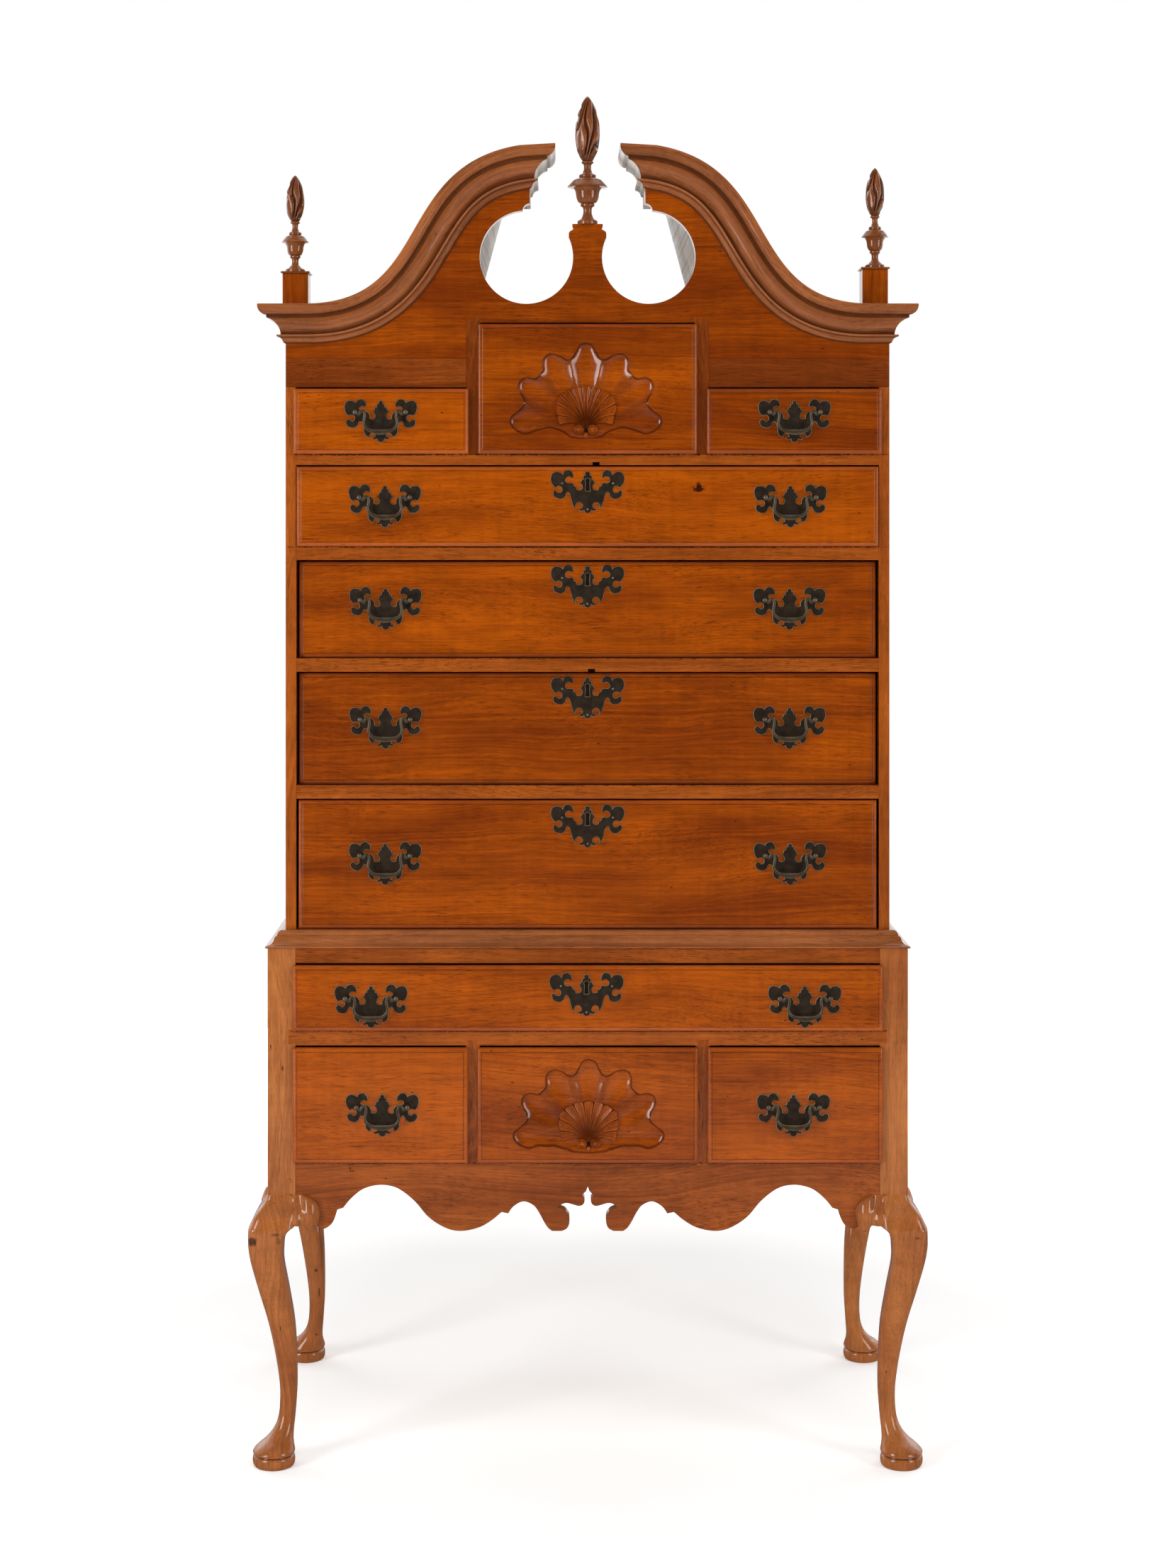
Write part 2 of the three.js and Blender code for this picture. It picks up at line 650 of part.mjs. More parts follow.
// One half of the hollow bonnet behind the scrolls: a thin curved roof, a leaning inner wall and
// a back that closes it. It is open towards the scroll board.
function bonnetHalf() {
  const front = upperFront + FRONT_BOARD;
  const inBoard = corniceTop - TOP_BOARD / 2;
  const apexX = -GAP_HALF - BONNET_BESIDE_GAP;
  const sunk = (depth) => scrollStations()
    .filter(({ point }) => point.x < apexX)
    .map(({ point, down }) => point.clone().addScaledVector(down, depth));
  const roof = sunk(BONNET_UNDER_EDGE);
  const apexZ = roof.at(-1).y;
  const lean = BONNET_LEAN / (apexZ - inBoard);
  const wallX = (z) => apexX - lean * (apexZ - z);
  const ceiling = sunk(BONNET_UNDER_EDGE + BONNET_THICK).filter(({ x, y }) =>
    y > corniceTop + JOINT_LAP && x < wallX(y) - BONNET_THICK - JOINT_LAP);
  const outline = [
    ...vectors([[-upperHalf, inBoard], [-upperHalf, corniceTop - BONNET_UNDER_EDGE]]),
    ...roof,
    ...vectors([[apexX, apexZ], [wallX(inBoard), inBoard]]),
  ];
  const ceilingEnd = ceiling.at(-1).y;
  const hollow = [
    new THREE.Vector2(ceiling[0].x - BONNET_THICK, corniceTop),
    ...ceiling,
    ...vectors([
      [wallX(ceilingEnd) - BONNET_THICK, ceilingEnd],
      [wallX(corniceTop) - BONNET_THICK, corniceTop],
    ]),
  ];
  const depth = back - front;
  return cut(
    frontBoard(outline, front, depth),
    frontBoard(hollow, front - JOINT_LAP, depth + JOINT_LAP - BACK_THICK));
}

// The top board of the upper case with the two halves of the bonnet on it
function buildUpperTop() {
  const front = upperFront + FRONT_BOARD;
  const board = box(-upperHalf, upperHalf, front, back, upperSideTop, corniceTop);
  const half = bonnetHalf();
  add('upper_top', join(board, half, mirrored(half, -1, 1)), innerWood);
}

function buildScrollBoard() {
  const holeX = -(PLINTH_NECK + HOLE_RADIUS);
  const holeZ = shellTop + HOLE_WEB + HOLE_RADIUS;
  const plinthTop = holeZ + PLINTH_RISE;
  const shoulderAngle = Math.acos((-PLINTH_SHOULDER - holeX) / HOLE_RADIUS);
  const biteX = -(GAP_HALF + GAP_BITE);
  const biteAngle = Math.acos((biteX - holeX) / HOLE_RADIUS);
  const biteZ = holeZ + HOLE_RADIUS * Math.sin(biteAngle);
  const path = new THREE.Path();
  path.moveTo(-PLINTH_CAP, plinthTop);
  path.lineTo(-PLINTH_CAP, plinthTop - PLINTH_CAP_HEIGHT);
  path.lineTo(-PLINTH_CAP + 1.5, plinthTop - PLINTH_CAP_HEIGHT - 3.5);
  path.quadraticCurveTo(-PLINTH_SHOULDER, plinthTop - 12, -PLINTH_SHOULDER, plinthTop - 17);
  path.absarc(holeX, holeZ, HOLE_RADIUS, shoulderAngle, biteAngle - 2 * Math.PI, true);
  path.absarc(-GAP_HALF, biteZ, GAP_BITE, Math.PI, Math.PI / 2, true);
  const left = path.getPoints(9);
  const stations = scrollStations().reverse();
  left.push(new THREE.Vector2(-GAP_HALF, stations[0].point.y));
  left.push(...stations.map((station) => station.point));
  left.push(...vectors([
    [-upperHalf, corniceTop],
    [-upperHalf, friezeTop],
    [-dividerEnd, friezeTop],
    [-dividerEnd, shellTop + DIVIDER_HEAD],
    [-DIVIDER_START, shellTop + DIVIDER_HEAD],
    [-DIVIDER_START, shellTop],
  ]));
  add('scroll_board', frontBoard(mirroredOutline(left), upperFront, FRONT_BOARD), frontWood);
}

// The cornice's section as distance out and distance down, for its height at the corner.
function corniceProfile() {
  const path = new THREE.Path();
  path.moveTo(0, 0);
  path.lineTo(CORNICE_OUT, 0);
  path.quadraticCurveTo(CORNICE_OUT - 1, 14, CORNICE_OUT - 10.6, 15.8);
  path.lineTo(CORNICE_OUT - 12.5, 16);
  path.lineTo(CORNICE_OUT - 12.5, 20.2);
  path.bezierCurveTo(CORNICE_OUT - 22, 21.5, 7.5, 31, 6.7, 44.2);
  path.lineTo(11.5, 45);
  path.lineTo(12, 47.5);
  path.quadraticCurveTo(5, 49.5, 3.5, CORNICE_HEIGHT - 2);
  path.lineTo(0, CORNICE_HEIGHT);
  return path.getPoints(3);
}

// The left cornice in one run: along the side, round the corner, up the scroll and back into
// the gap, where a short board carries it.
function corniceGeometry() {
  const profile = corniceProfile();
  const growth = CORNICE_HEIGHT_AT_GAP / CORNICE_HEIGHT - 1;
  const stations = scrollStations();
  const corner = (y) => profile.map(({ x: out, y: down }) =>
    new THREE.Vector3(-upperHalf - out, y(out), corniceTop - down));
  const gapLevel = scrollTop - GAP_LEVEL_DROP;
  const gap = (y) => profile.map(({ x: out, y: down }) =>
    new THREE.Vector3(-GAP_HALF + out, y(out), gapLevel - down * (1 + growth)));
  const rings = [corner(() => back), corner((out) => upperFront - out)];
  for (const { share, point, down } of stations) {
    const grown = 1 + growth * share;
    rings.push(profile.map(({ x: out, y: depth }) => new THREE.Vector3(
      point.x + down.x * depth * grown, upperFront - out, point.y + down.y * depth * grown)));
  }
  rings.push(gap((out) => upperFront - out), gap(() => upperFront + GAP_RETURN_DEPTH));
  const moulding = loft(rings, profile);
  const holeTop = shellTop + HOLE_WEB + 2 * HOLE_RADIUS;
  const carrier = box(
    -GAP_HALF - PANEL_THICK, -GAP_HALF + CARRIER_PROUD, upperFront + FRONT_BOARD,
    upperFront + GAP_RETURN_DEPTH, holeTop, gapLevel - CARRIER_UNDER_TOP);
  return join(moulding, carrier);
}

function buildCornices() {
  const left = corniceGeometry();
  add('cornice_left', left, mouldingWood);
  add('cornice_right', mirrored(left, -1, 1), mouldingWood);
}

// One finial with its foot at the origin. Its turned part is given as shares of the urn's height.
function finial({ total, flame, flameRadius, brim, cupRadius, baseRadius, neck }) {
  const urn = total - flame;
  const levels = [
    [0, baseRadius], [0.035, baseRadius], [0.07, baseRadius * 0.7], [0.12, neck * 1.15],
    [0.22, neck], [0.3, neck * 1.5], [0.36, cupRadius * 0.78], [0.48, cupRadius],
    [0.56, cupRadius * 1.02], [0.6, brim * 0.8], [0.62, brim], [0.65, brim * 0.92],
    [0.7, brim * 0.55], [0.76, brim * 0.4], [0.8, neck * 1.05], [0.93, neck], [1, neck * 1.4],
  ].map(([share, radius]) => [share * urn, radius, 0]);
  for (const [share, width] of [[0.06, 0.5], [0.2, 0.84], [0.38, 1], [0.56, 0.94], [0.72, 0.72],
    [0.86, 0.4]]) {
    levels.push([urn + share * flame, width * flameRadius, FLAME_FLUTE_DEPTH]);
  }
  levels.push([total, 0.6, 0]);
  const rings = levels.map(([height, radius, depth]) => {
    const twist = (height / total) * FLAME_TURNS * 2 * Math.PI;
    const ring = [];
    for (let i = 0; i < FLAME_SIDES; i += 1) {
      const angle = (i / FLAME_SIDES) * Math.PI * 2;
      const carved = radius * (1 - depth + depth * Math.cos(FLAME_FLUTES * (angle - twist)));
      ring.push(new THREE.Vector3(carved * Math.cos(angle), carved * Math.sin(angle), height));
    }
    return ring;
  });
  return loft(rings, rings[0].map((point) => new THREE.Vector2(point.x, point.y)));
}

function buildFinials() {
  const holeZ = shellTop + HOLE_WEB + HOLE_RADIUS;
  const plinthTop = holeZ + PLINTH_RISE;
  const centre = finial(CENTRE_FINIAL);
  const centreY = upperFront + FRONT_BOARD / 2;
  add('finial_centre', centre.translate(0, centreY, plinthTop), turnedWood);
  const blockTop = corniceTop + SIDE_PLINTH_HEIGHT;
  const half = SIDE_PLINTH_WIDTH / 2;
  const capHalf = SIDE_PLINTH_CAP / 2;
  const block = join(
    box(-half, half, -half, half, corniceTop, blockTop - JOINT_LAP),
    box(-capHalf, capHalf, -capHalf, capHalf, blockTop - SIDE_PLINTH_CAP_HEIGHT, blockTop),
    finial(SIDE_FINIAL).translate(0, 0, blockTop - 0.5));
  const x = upperHalf - SIDE_PLINTH_IN;
  const y = upperFront + FRONT_BOARD + capHalf;
  add('finial_left', block.clone().translate(-x, y, 0), turnedWood);
  add('finial_right', block.clone().translate(x, y, 0), turnedWood);
}

// Drawers

// A rectangular front whose outer edge is rounded, from the plane y backwards.
function frontSlab(x0, x1, z0, z1, y) {
  const rectangle = (inset, depth) => [
    new THREE.Vector3(x0 + inset, y + depth, z0 + inset),
    new THREE.Vector3(x1 - inset, y + depth, z0 + inset),
    new THREE.Vector3(x1 - inset, y + depth, z1 - inset),
    new THREE.Vector3(x0 + inset, y + depth, z1 - inset),
  ];
  const rings = [
    rectangle(LIP_ROUND, 0),
    rectangle(LIP_ROUND * 0.35, 0.8),
    rectangle(0, 3),
    rectangle(0, LIP_THICK),
  ];
  return loft(rings, vectors([[0, 0], [1, 0], [1, 1], [0, 1]]));
}

// The outline of a carved shell, right half, as distances from the point at its foot: a waving
// lower edge and then three round lobes and half of the one at the top
const shellEdge = vectors([
  [0, 0], [24.5, 3.4], [50.6, 17.5], [89.7, 7], [116, 26], [97.5, 48.2], [96, 62], [103.5, 80],
  [90, 94.6], [71.4, 97.2], [66.5, 114], [52, 130.8], [30, 121.7], [19, 127], [10.2, 143.3],
  [0, 147.3],
]);

function shellOutline(centreX, footZ) {
  const right = new THREE.SplineCurve(shellEdge).getPoints(2 * shellEdge.length);
  const left = right.slice(1, -1).map((point) => new THREE.Vector2(-point.x, point.y)).reverse();
  const offset = new THREE.Vector2(centreX, footZ);
  return [...right, ...left].map((point) => point.clone().add(offset));
}

// The raised fan in the middle of the shell
function shellFan(centreX, footZ, face) {
  const fan = new THREE.SphereGeometry(1, 12, 8);
  fan.scale(FAN_HALF_WIDTH, SHELL_CARVING_DEPTH, FAN_HALF_HEIGHT);
  return fan.translate(centreX, face + SHELL_CARVING_DEPTH, footZ + FAN_MIDDLE_UP);
}

// A drawer is its front and its open box in one piece. opening is the hole in the case, plane is
// the case's front, proud is how far the front stands out of it, and overlap is how far the lip
// laps over each side and the bottom of the opening. shellUp is how far a carved shell's foot stands
// above the front's lower edge, and a plain drawer has none.
function drawerGeometry({ opening, plane, proud, overlap, shellUp }) {
  const [x0, x1, z0, z1] = opening;
  const face = plane - proud;
  const play = Math.max(BOX_SIDE_PLAY, RUN_BESIDE_FRONT - overlap);
  const slab = frontSlab(x0 - overlap, x1 + overlap, z0 - overlap, z1 - LIP_TOP_GAP, face);
  const behind = face + LIP_THICK - JOINT_LAP;
  const outer = box(
    x0 + play, x1 - play, behind, face + boxLength, z0 + RUNNING_GAP, z1 - BOX_HEAD_PLAY);
  const hollow = box(
    x0 + play + BOX_WALL, x1 - play - BOX_WALL, face + FRONT_THICK, face + boxLength - BOX_WALL,
    z0 + RUNNING_GAP + BOX_FLOOR, z1);
  const whole = toSolid(slab).add(toSolid(outer)).subtract(toSolid(hollow));
  if (!shellUp) {
    return toGeometry(whole);
  }
  const centreX = (x0 + x1) / 2;
  const footZ = z0 - overlap + shellUp;
  const carving = frontBoard(
    shellOutline(centreX, footZ), face - JOINT_LAP, SHELL_CARVING_DEPTH + JOINT_LAP);
  const fan = shellFan(centreX, footZ, face);
  return toGeometry(whole.subtract(toSolid(carving)).add(toSolid(fan)));
}

const lowerOverlap = { plane: lowerFront, proud: LIP_THICK + RUNNING_GAP, overlap: LIP_OVERLAP };
const smallOverlap = { plane: upperFront, proud: LIP_THICK + RUNNING_GAP, overlap: LIP_OVERLAP };
const bottomLevels = [apronTop, middleRailBottom];
const drawers = [
  {
    name: 'waist', opening: [-postInner, postInner, middleRailTop, topRailBottom],
    ...lowerOverlap, pulls: [-waistPullX, waistPullX], drop: WAIST_PULL_DROP,
  },
  {
    name: 'bottom_left', opening: [-postInner, -dividerEnd, ...bottomLevels], ...lowerOverlap,
    pulls: [-bottomPullX], drop: BOTTOM_PULL_DROP,
  },
  {
    name: 'bottom_shell', opening: [-DIVIDER_START, DIVIDER_START, ...bottomLevels],
    ...lowerOverlap, pulls: [], shellUp: BOTTOM_SHELL_UP,
  },
  {
    name: 'bottom_right', opening: [dividerEnd, postInner, ...bottomLevels], ...lowerOverlap,
    pulls: [bottomPullX], drop: BOTTOM_PULL_DROP,
  },
  {
    name: 'top_left', opening: [-upperInner, -dividerEnd, shelfTop, smallTop], ...smallOverlap,
    pulls: [-(upperInner + dividerEnd) / 2], drop: 0,
  },
  {
    name: 'top_shell', opening: [-DIVIDER_START, DIVIDER_START, shelfTop, shellTop],
    ...smallOverlap, pulls: [], shellUp: TOP_SHELL_UP,
  },
  {
    name: 'top_right', opening: [dividerEnd, upperInner, shelfTop, smallTop], ...smallOverlap,
    pulls: [(upperInner + dividerEnd) / 2], drop: 0,
  },
];
longLevels.forEach(([bottom, top], i) => {
  drawers.push({
    name: `long_${i + 1}`, opening: [-upperInner, upperInner, bottom, top], plane: upperFront,
    proud: -INSET_DEPTH[i], overlap: -INSET_PLAY[i], pulls: [-upperPullX, upperPullX],
    drop: 0,
  });
});

// Bail pulls

// The back plate's outline, left half, from the top spire round to the foot, measured from the
// plate's middle.
const plateHalf = vectors([
  [0, 30.5], [-7.6, 20.4], [-14.2, 14.2], [-8.6, 7.5], [-14.2, 2.7], [-23, 14.7], [-31, 18],
  [-23.6, 20], [-28, 33.2], [-38.2, 27.6], [-48.4, 30.8], [-55.4, 20], [-48.9, 6.8], [-40, 4],
  [-51.5, 1.5], [-51.6, -7.1], [-41.3, -11.6], [-32.4, -1.3], [-26.2, -9], [-24.5, -21],
  [-16.4, -25.5], [-9, -21], [-13.8, -25.8], [0, -33.5],
]);

// The plate and its two posts, with the plate's back at y = 0.
function plateGeometry() {
  const plate = frontBoard(mirroredOutline(plateHalf), -PULL_PLATE_THICK, PULL_PLATE_THICK);
  const tip = PULL_POST_LENGTH;
  const profile = [
    [0, 0.5], [PULL_POST_RADIUS, 0.5], [PULL_POST_RADIUS, tip - 1.5], [PULL_POST_RADIUS * 0.6, tip],
    [0, tip],
  ];
  const post = turned(profile, 6).rotateX(Math.PI / 2);
  const posts = [-1, 1].map((side) =>
    post.clone().translate(side * PULL_BORING / 2, 0, PULL_POST_RISE));
  return join(plate, ...posts);
}

// The bail hangs between the posts. Its route, left half, is measured from the swing axis.
const bailReach = PULL_BORING / 2 - PULL_POST_RADIUS - RUNNING_GAP;
const bailRoute = [
  [-bailReach, 0], [-28.5, 0.4], [-25.8, -4], [-25.2, -14], [-21.5, -23], [-13, -28], [0, -BAIL_DROP],
];
const BAIL_SIDES = 5;

function bailGeometry() {
  const half = bailRoute.map(([x, z]) => new THREE.Vector3(x, 0, z));
  const other = half.slice(0, -1).map((point) => new THREE.Vector3(-point.x, 0, point.z)).reverse();
  const route = [...half, ...other];
  const last = route.length - 1;
  const rings = route.map((point, i) => {
    const along = route[Math.min(i + 1, last)].clone().sub(route[Math.max(i - 1, 0)]).normalize();
    const across = new THREE.Vector3(-along.z, 0, along.x);
    const grip = Math.max(0, 1 - Math.abs(point.x) / 22);
    const radius = BAIL_RADIUS + (BAIL_GRIP_RADIUS - BAIL_RADIUS) * grip;
    const ring = [];
    for (let side = 0; side < BAIL_SIDES; side += 1) {
      const angle = (side / BAIL_SIDES) * Math.PI * 2;
      ring.push(point.clone()
        .addScaledVector(across, radius * Math.cos(angle))
        .add(new THREE.Vector3(0, Math.min(radius, 2.6) * Math.sin(angle), 0)));
    }
    return ring;
  });
  const cap = rings[0].map((point) => new THREE.Vector2(point.z, point.y));
  return loft(rings, cap);
}

function buildDrawers() {
  const plate = plateGeometry();
  const bail = bailGeometry();
  for (const drawer of drawers) {
    add(`drawer_${drawer.name}`, drawerGeometry(drawer), frontWood);
    const [, , z0, z1] = drawer.opening;
    const face = drawer.plane - drawer.proud;
    const z = (z0 - drawer.overlap + z1 - LIP_TOP_GAP) / 2 - drawer.drop;
    drawer.pulls.forEach((x) => {
      const side = x < 0 ? 'left' : 'right';
      const name = drawer.pulls.length > 1 ? `${drawer.name}_${side}` : drawer.name;
      add(`plate_${name}`, plate.clone().translate(x, face, z), brass);
      const axisY = face - PULL_PLATE_THICK - BAIL_AXIS_OUT;
      add(`bail_${name}`, bail.clone().translate(x, axisY, z + PULL_POST_RISE), brass);
    });
  }
}

buildLowerCase();
buildWaistMoulding();
buildUpperFrame();
buildUpperSides();
buildUpperTop();
buildScrollBoard();
buildCornices();
buildFinials();
buildDrawers();

export default highboy;
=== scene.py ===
import itertools
import math
import zlib

import bmesh
import bpy
from bpy.props import FloatProperty, FloatVectorProperty, PointerProperty
from bpy.types import Operator, Panel, PropertyGroup
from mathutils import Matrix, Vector
from mathutils.geometry import tessellate_polygon
from mathutils.kdtree import KDTree


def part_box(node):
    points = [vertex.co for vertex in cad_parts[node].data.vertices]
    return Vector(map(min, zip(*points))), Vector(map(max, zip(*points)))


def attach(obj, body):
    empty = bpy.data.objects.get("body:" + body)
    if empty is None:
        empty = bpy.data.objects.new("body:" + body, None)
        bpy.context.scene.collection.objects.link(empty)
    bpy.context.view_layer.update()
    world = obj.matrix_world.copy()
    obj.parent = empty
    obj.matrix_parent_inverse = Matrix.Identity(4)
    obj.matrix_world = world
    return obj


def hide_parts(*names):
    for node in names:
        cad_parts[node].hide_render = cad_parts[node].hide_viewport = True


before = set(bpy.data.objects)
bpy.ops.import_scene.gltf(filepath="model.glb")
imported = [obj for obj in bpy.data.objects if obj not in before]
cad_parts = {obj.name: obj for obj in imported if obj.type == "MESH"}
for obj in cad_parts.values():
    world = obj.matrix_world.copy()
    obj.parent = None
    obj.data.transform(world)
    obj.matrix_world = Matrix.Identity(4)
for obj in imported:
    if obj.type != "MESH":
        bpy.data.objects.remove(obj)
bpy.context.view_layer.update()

bl_info = {
    "name": "Highboy",
    "version": (1, 0, 0),
    "blender": (4, 5, 0),
    "location": "3D View > Sidebar > Highboy",
    "description": "Builds a tall scroll-top chest of drawers, piece by piece, on its packed frame",
    "category": "Add Mesh",
}

# All lengths are in millimetres, as on a joiner's drawing, unless a name says otherwise.
# make_piece turns them into metres.
MM = 0.001

# Each side's name and its sign along x
SIDES = (("left", -1), ("right", 1))


def node_box(node):
    """A frame node's lowest and highest corner in millimetres"""
    low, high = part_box(node)
    return low / MM, high / MM


# Places read from the frame
APRON_LOW, APRON_HIGH = node_box("apron")
LOWER_FRONT = APRON_LOW.y
POST_INNER = APRON_HIGH.x
APRON_TOP = APRON_HIGH.z
LOWER_SIDE_LOW, LOWER_SIDE_HIGH = node_box("lower_side_right")
LOWER_HALF = LOWER_SIDE_HIGH.x
LOWER_INNER = LOWER_SIDE_LOW.x
LOWER_TOP = LOWER_SIDE_HIGH.z
POST = LOWER_HALF - POST_INNER
LOWER_BACK_LOW, LOWER_BACK_HIGH = node_box("lower_back")
BACK = LOWER_BACK_HIGH.y
LOWER_BACK_FACE = LOWER_BACK_LOW.y
MOULDING_LOW, MOULDING_HIGH = node_box("waist_moulding")
UPPER_FLOOR = MOULDING_HIGH.z
UPPER_SIDE_LOW, UPPER_SIDE_HIGH = node_box("upper_side_right")
UPPER_HALF = UPPER_SIDE_HIGH.x
UPPER_INNER = UPPER_SIDE_LOW.x
UPPER_FRONT = UPPER_SIDE_LOW.y
UPPER_SIDE_TOP = UPPER_SIDE_HIGH.z
UPPER_BACK_LOW, UPPER_BACK_HIGH = node_box("upper_back")
UPPER_BACK_FACE = UPPER_BACK_LOW.y
SCROLL_LOW, SCROLL_HIGH = node_box("scroll_board")
FRIEZE_TOP = SCROLL_LOW.z
FRONT_BOARD = SCROLL_HIGH.y - SCROLL_LOW.y
CORNICE_LOW, CORNICE_HIGH = node_box("cornice_left")
CORNICE_OUT = -UPPER_HALF - CORNICE_LOW.x
CORNICE_TOP = node_box("finial_left")[0].z
CENTRE_FINIAL_LOW, CENTRE_FINIAL_HIGH = node_box("finial_centre")
UPPER_SETBACK = UPPER_FRONT - LOWER_FRONT

# The knee's top, where the post starts
LEG_HEIGHT = 410

# Sizes that many boards share. EASED is how far their edges are taken off.
EASED = 0.6
RAIL_DEPTH = 70
PANEL_THICK = 12
BEARER_THICK = 16
PARTITION_IN = 4.75
REAR_POST = 20

# How the drawer fronts sit in their openings. The long drawers are set in, with some play at
# each side, and the others have a lip that overlaps the case.
LIP_OVERLAP = 3.5
TOP_GAP = 1
RUNNING_GAP = 0.3
INSET_PLAY = {"long_1": 3, "long_2": 3, "long_3": 3, "long_4": 0.8}
LIPPED = ("waist", "bottom_left", "bottom_shell", "bottom_right", "top_left", "top_shell", "top_right")
LONG = tuple(INSET_PLAY)
SHELL_DRAWERS = ("bottom_shell", "top_shell")


def opening_of(drawer):
    """The hole in the case behind a drawer front, as low x, high x, low z and high z"""
    low, high = node_box(f"drawer_{drawer}")
    play = INSET_PLAY.get(drawer)
    if play is None:
        return low.x + LIP_OVERLAP, high.x - LIP_OVERLAP, low.z + LIP_OVERLAP, high.z + TOP_GAP
    return low.x - play, high.x + play, low.z - RUNNING_GAP, high.z + TOP_GAP


DIVIDER_START = opening_of("top_shell")[1]
DIVIDER_END = opening_of("top_right")[0]
SMALL_TOP = opening_of("top_left")[3]
SHELL_TOP = opening_of("top_shell")[3]
MIDDLE_RAIL_BOTTOM = opening_of("bottom_left")[3]
MIDDLE_RAIL_TOP = opening_of("waist")[2]
TOP_RAIL_BOTTOM = opening_of("waist")[3]


# Gathering a piece's mesh

def fibre_at(grain, x, y, z):
    """Where a point lies in its board: along the grain, across it and through the board"""
    if grain == "x":
        return x, z, y
    if grain == "z":
        return z, x, y
    return y, x, z


class Timber:
    """The points and faces of one piece, with the run of the grain and a shade at each point"""

    def __init__(self, grain="x"):
        self.grain = grain
        self.points = []
        self.faces = []
        self.fibres = []
        self.shades = []

    def point(self, x, y, z, fibre=None, shade=0.0):
        """Adds a point. A shade above 0 paints it pale, for wear and painted highlights, and one below 0
        paints it dark, for painted shade and a few dark joints.
        """
        self.points.append((x, y, z))
        self.fibres.append(fibre or fibre_at(self.grain, x, y, z))
        self.shades.append(shade)
        return len(self.points) - 1

    def loft(self, rings, fibre=None, shade=None, closed=True, caps=True):
        """A skin through rings of equal point counts"""
        rows = []
        for i, ring in enumerate(rings):
            rows.append([
                self.point(*place, fibre and fibre(i, j), shade(i, j) if shade else 0.0)
                for j, place in enumerate(ring)
            ])
        count = len(rows[0])
        for near, far in zip(rows, rows[1:]):
            for j in range(count if closed else count - 1):
                after = (j + 1) % count
                self.faces.append((near[j], near[after], far[after], far[j]))
        if caps:
            self.faces.append(tuple(reversed(rows[0])))
            self.faces.append(tuple(rows[-1]))
        return rows

    def block(self, low, high, edge=EASED):
        """A board with its edges eased"""
        spot = {}
        for corner in itertools.product((0, 1), repeat=3):
            for axis in range(3):
                place = [high[i] if corner[i] else low[i] for i in range(3)]
                for other in range(3):
                    if other != axis:
                        place[other] += -edge if corner[other] else edge
                spot[corner, axis] = self.point(*place)
        for axis in range(3):
            b, c = [other for other in range(3) if other != axis]
            for side in (0, 1):
                ring = []
                for at_b, at_c in ((0, 0), (1, 0), (1, 1), (0, 1)):
                    corner = [0, 0, 0]
                    corner[axis], corner[b], corner[c] = side, at_b, at_c
                    ring.append(spot[tuple(corner), axis])
                self.faces.append(tuple(ring))
            for at_b, at_c in itertools.product((0, 1), repeat=2):
                ends = []
                for side in (0, 1):
                    corner = [0, 0, 0]
                    corner[axis], corner[b], corner[c] = side, at_b, at_c
                    ends.append(tuple(corner))
                near, far = ends
                self.faces.append((spot[near, b], spot[far, b], spot[far, c], spot[near, c]))
        for corner in itertools.product((0, 1), repeat=3):
            self.faces.append(tuple(spot[corner, axis] for axis in range(3)))

    def flat(self, rows):
        """Fills a flat outline, and leaves out the holes that follow it"""
        loops = [[Vector(self.points[i]) for i in row] for row in rows]
        order = [i for row in rows for i in row]
        for a, b, c in tessellate_polygon(loops):
            if len({a, b, c}) == 3:
                self.faces.append((order[a], order[b], order[c]))

    def sawn(self, outline, place, thickness, edge=EASED, holes=(), wear_and_sheen=0.0):
        """A board cut to an outline. place turns its two measures and the depth into a point."""
        fronts = []
        backs = []
        for loop, inward in [(outline, 1), *((hole, -1) for hole in holes)]:
            inner = offset(loop, inward * edge)
            rings = [
                [place(u, v, 0) for u, v in inner],
                [place(u, v, edge) for u, v in loop],
                [place(u, v, thickness - edge) for u, v in loop],
                [place(u, v, thickness) for u, v in inner],
            ]
            rows = self.loft(rings, shade=lambda i, j: wear_and_sheen if i < 2 else 0.0, caps=False)
            fronts.append(rows[0])
            backs.append(rows[-1])
        if wear_and_sheen:
            fronts = [self.again(row) for row in fronts]
        self.flat(fronts)
        self.flat(backs)

    def again(self, row):
        """The same points once more with no wear or sheen, so that a pale edge doesn't fade into a face
        """
        return [self.point(*self.points[i], self.fibres[i]) for i in row]

    def turned(self, profile, centre, steps, shade=None, axis="z"):
        """A turned piece from pairs of radius and height, upright or pointing to the front"""
        x, y, z = centre
        rings = []
        for radius, height in profile:
            ring = []
            for i in range(steps):
                u = radius * math.cos(2 * math.pi * i / steps)
                v = radius * math.sin(2 * math.pi * i / steps)
                ring.append((x + u, y + v, z + height) if axis == "z" else (x + u, y - height, z + v))
            rings.append(ring)
        self.loft(rings, shade=shade)


def offset(loop, distance):
    """Moves each corner of a closed outline inwards, whichever way round it runs"""
    count = len(loop)
    area = sum(
        loop[i][0] * loop[(i + 1) % count][1] - loop[(i + 1) % count][0] * loop[i][1]
        for i in range(count))
    side = distance if area > 0 else -distance
    moved = []
    for i, (u, v) in enumerate(loop):
        before = unit(u - loop[i - 1][0], v - loop[i - 1][1])
        after = unit(loop[(i + 1) % count][0] - u, loop[(i + 1) % count][1] - v)
        nu, nv = -before[1] - after[1], before[0] + after[0]
        scale = side / max(0.5, (nu * nu + nv * nv) / 2)
        moved.append((u + nu * scale, v + nv * scale))
    return moved


def unit(u, v):
    """The same direction with a length of 1"""
    length = math.hypot(u, v) or 1.0
    return u / length, v / length


def front_face(y):
    """Places an outline drawn in x and z with its face at the plane y"""
    return lambda u, v, depth: (u, y + depth, v)


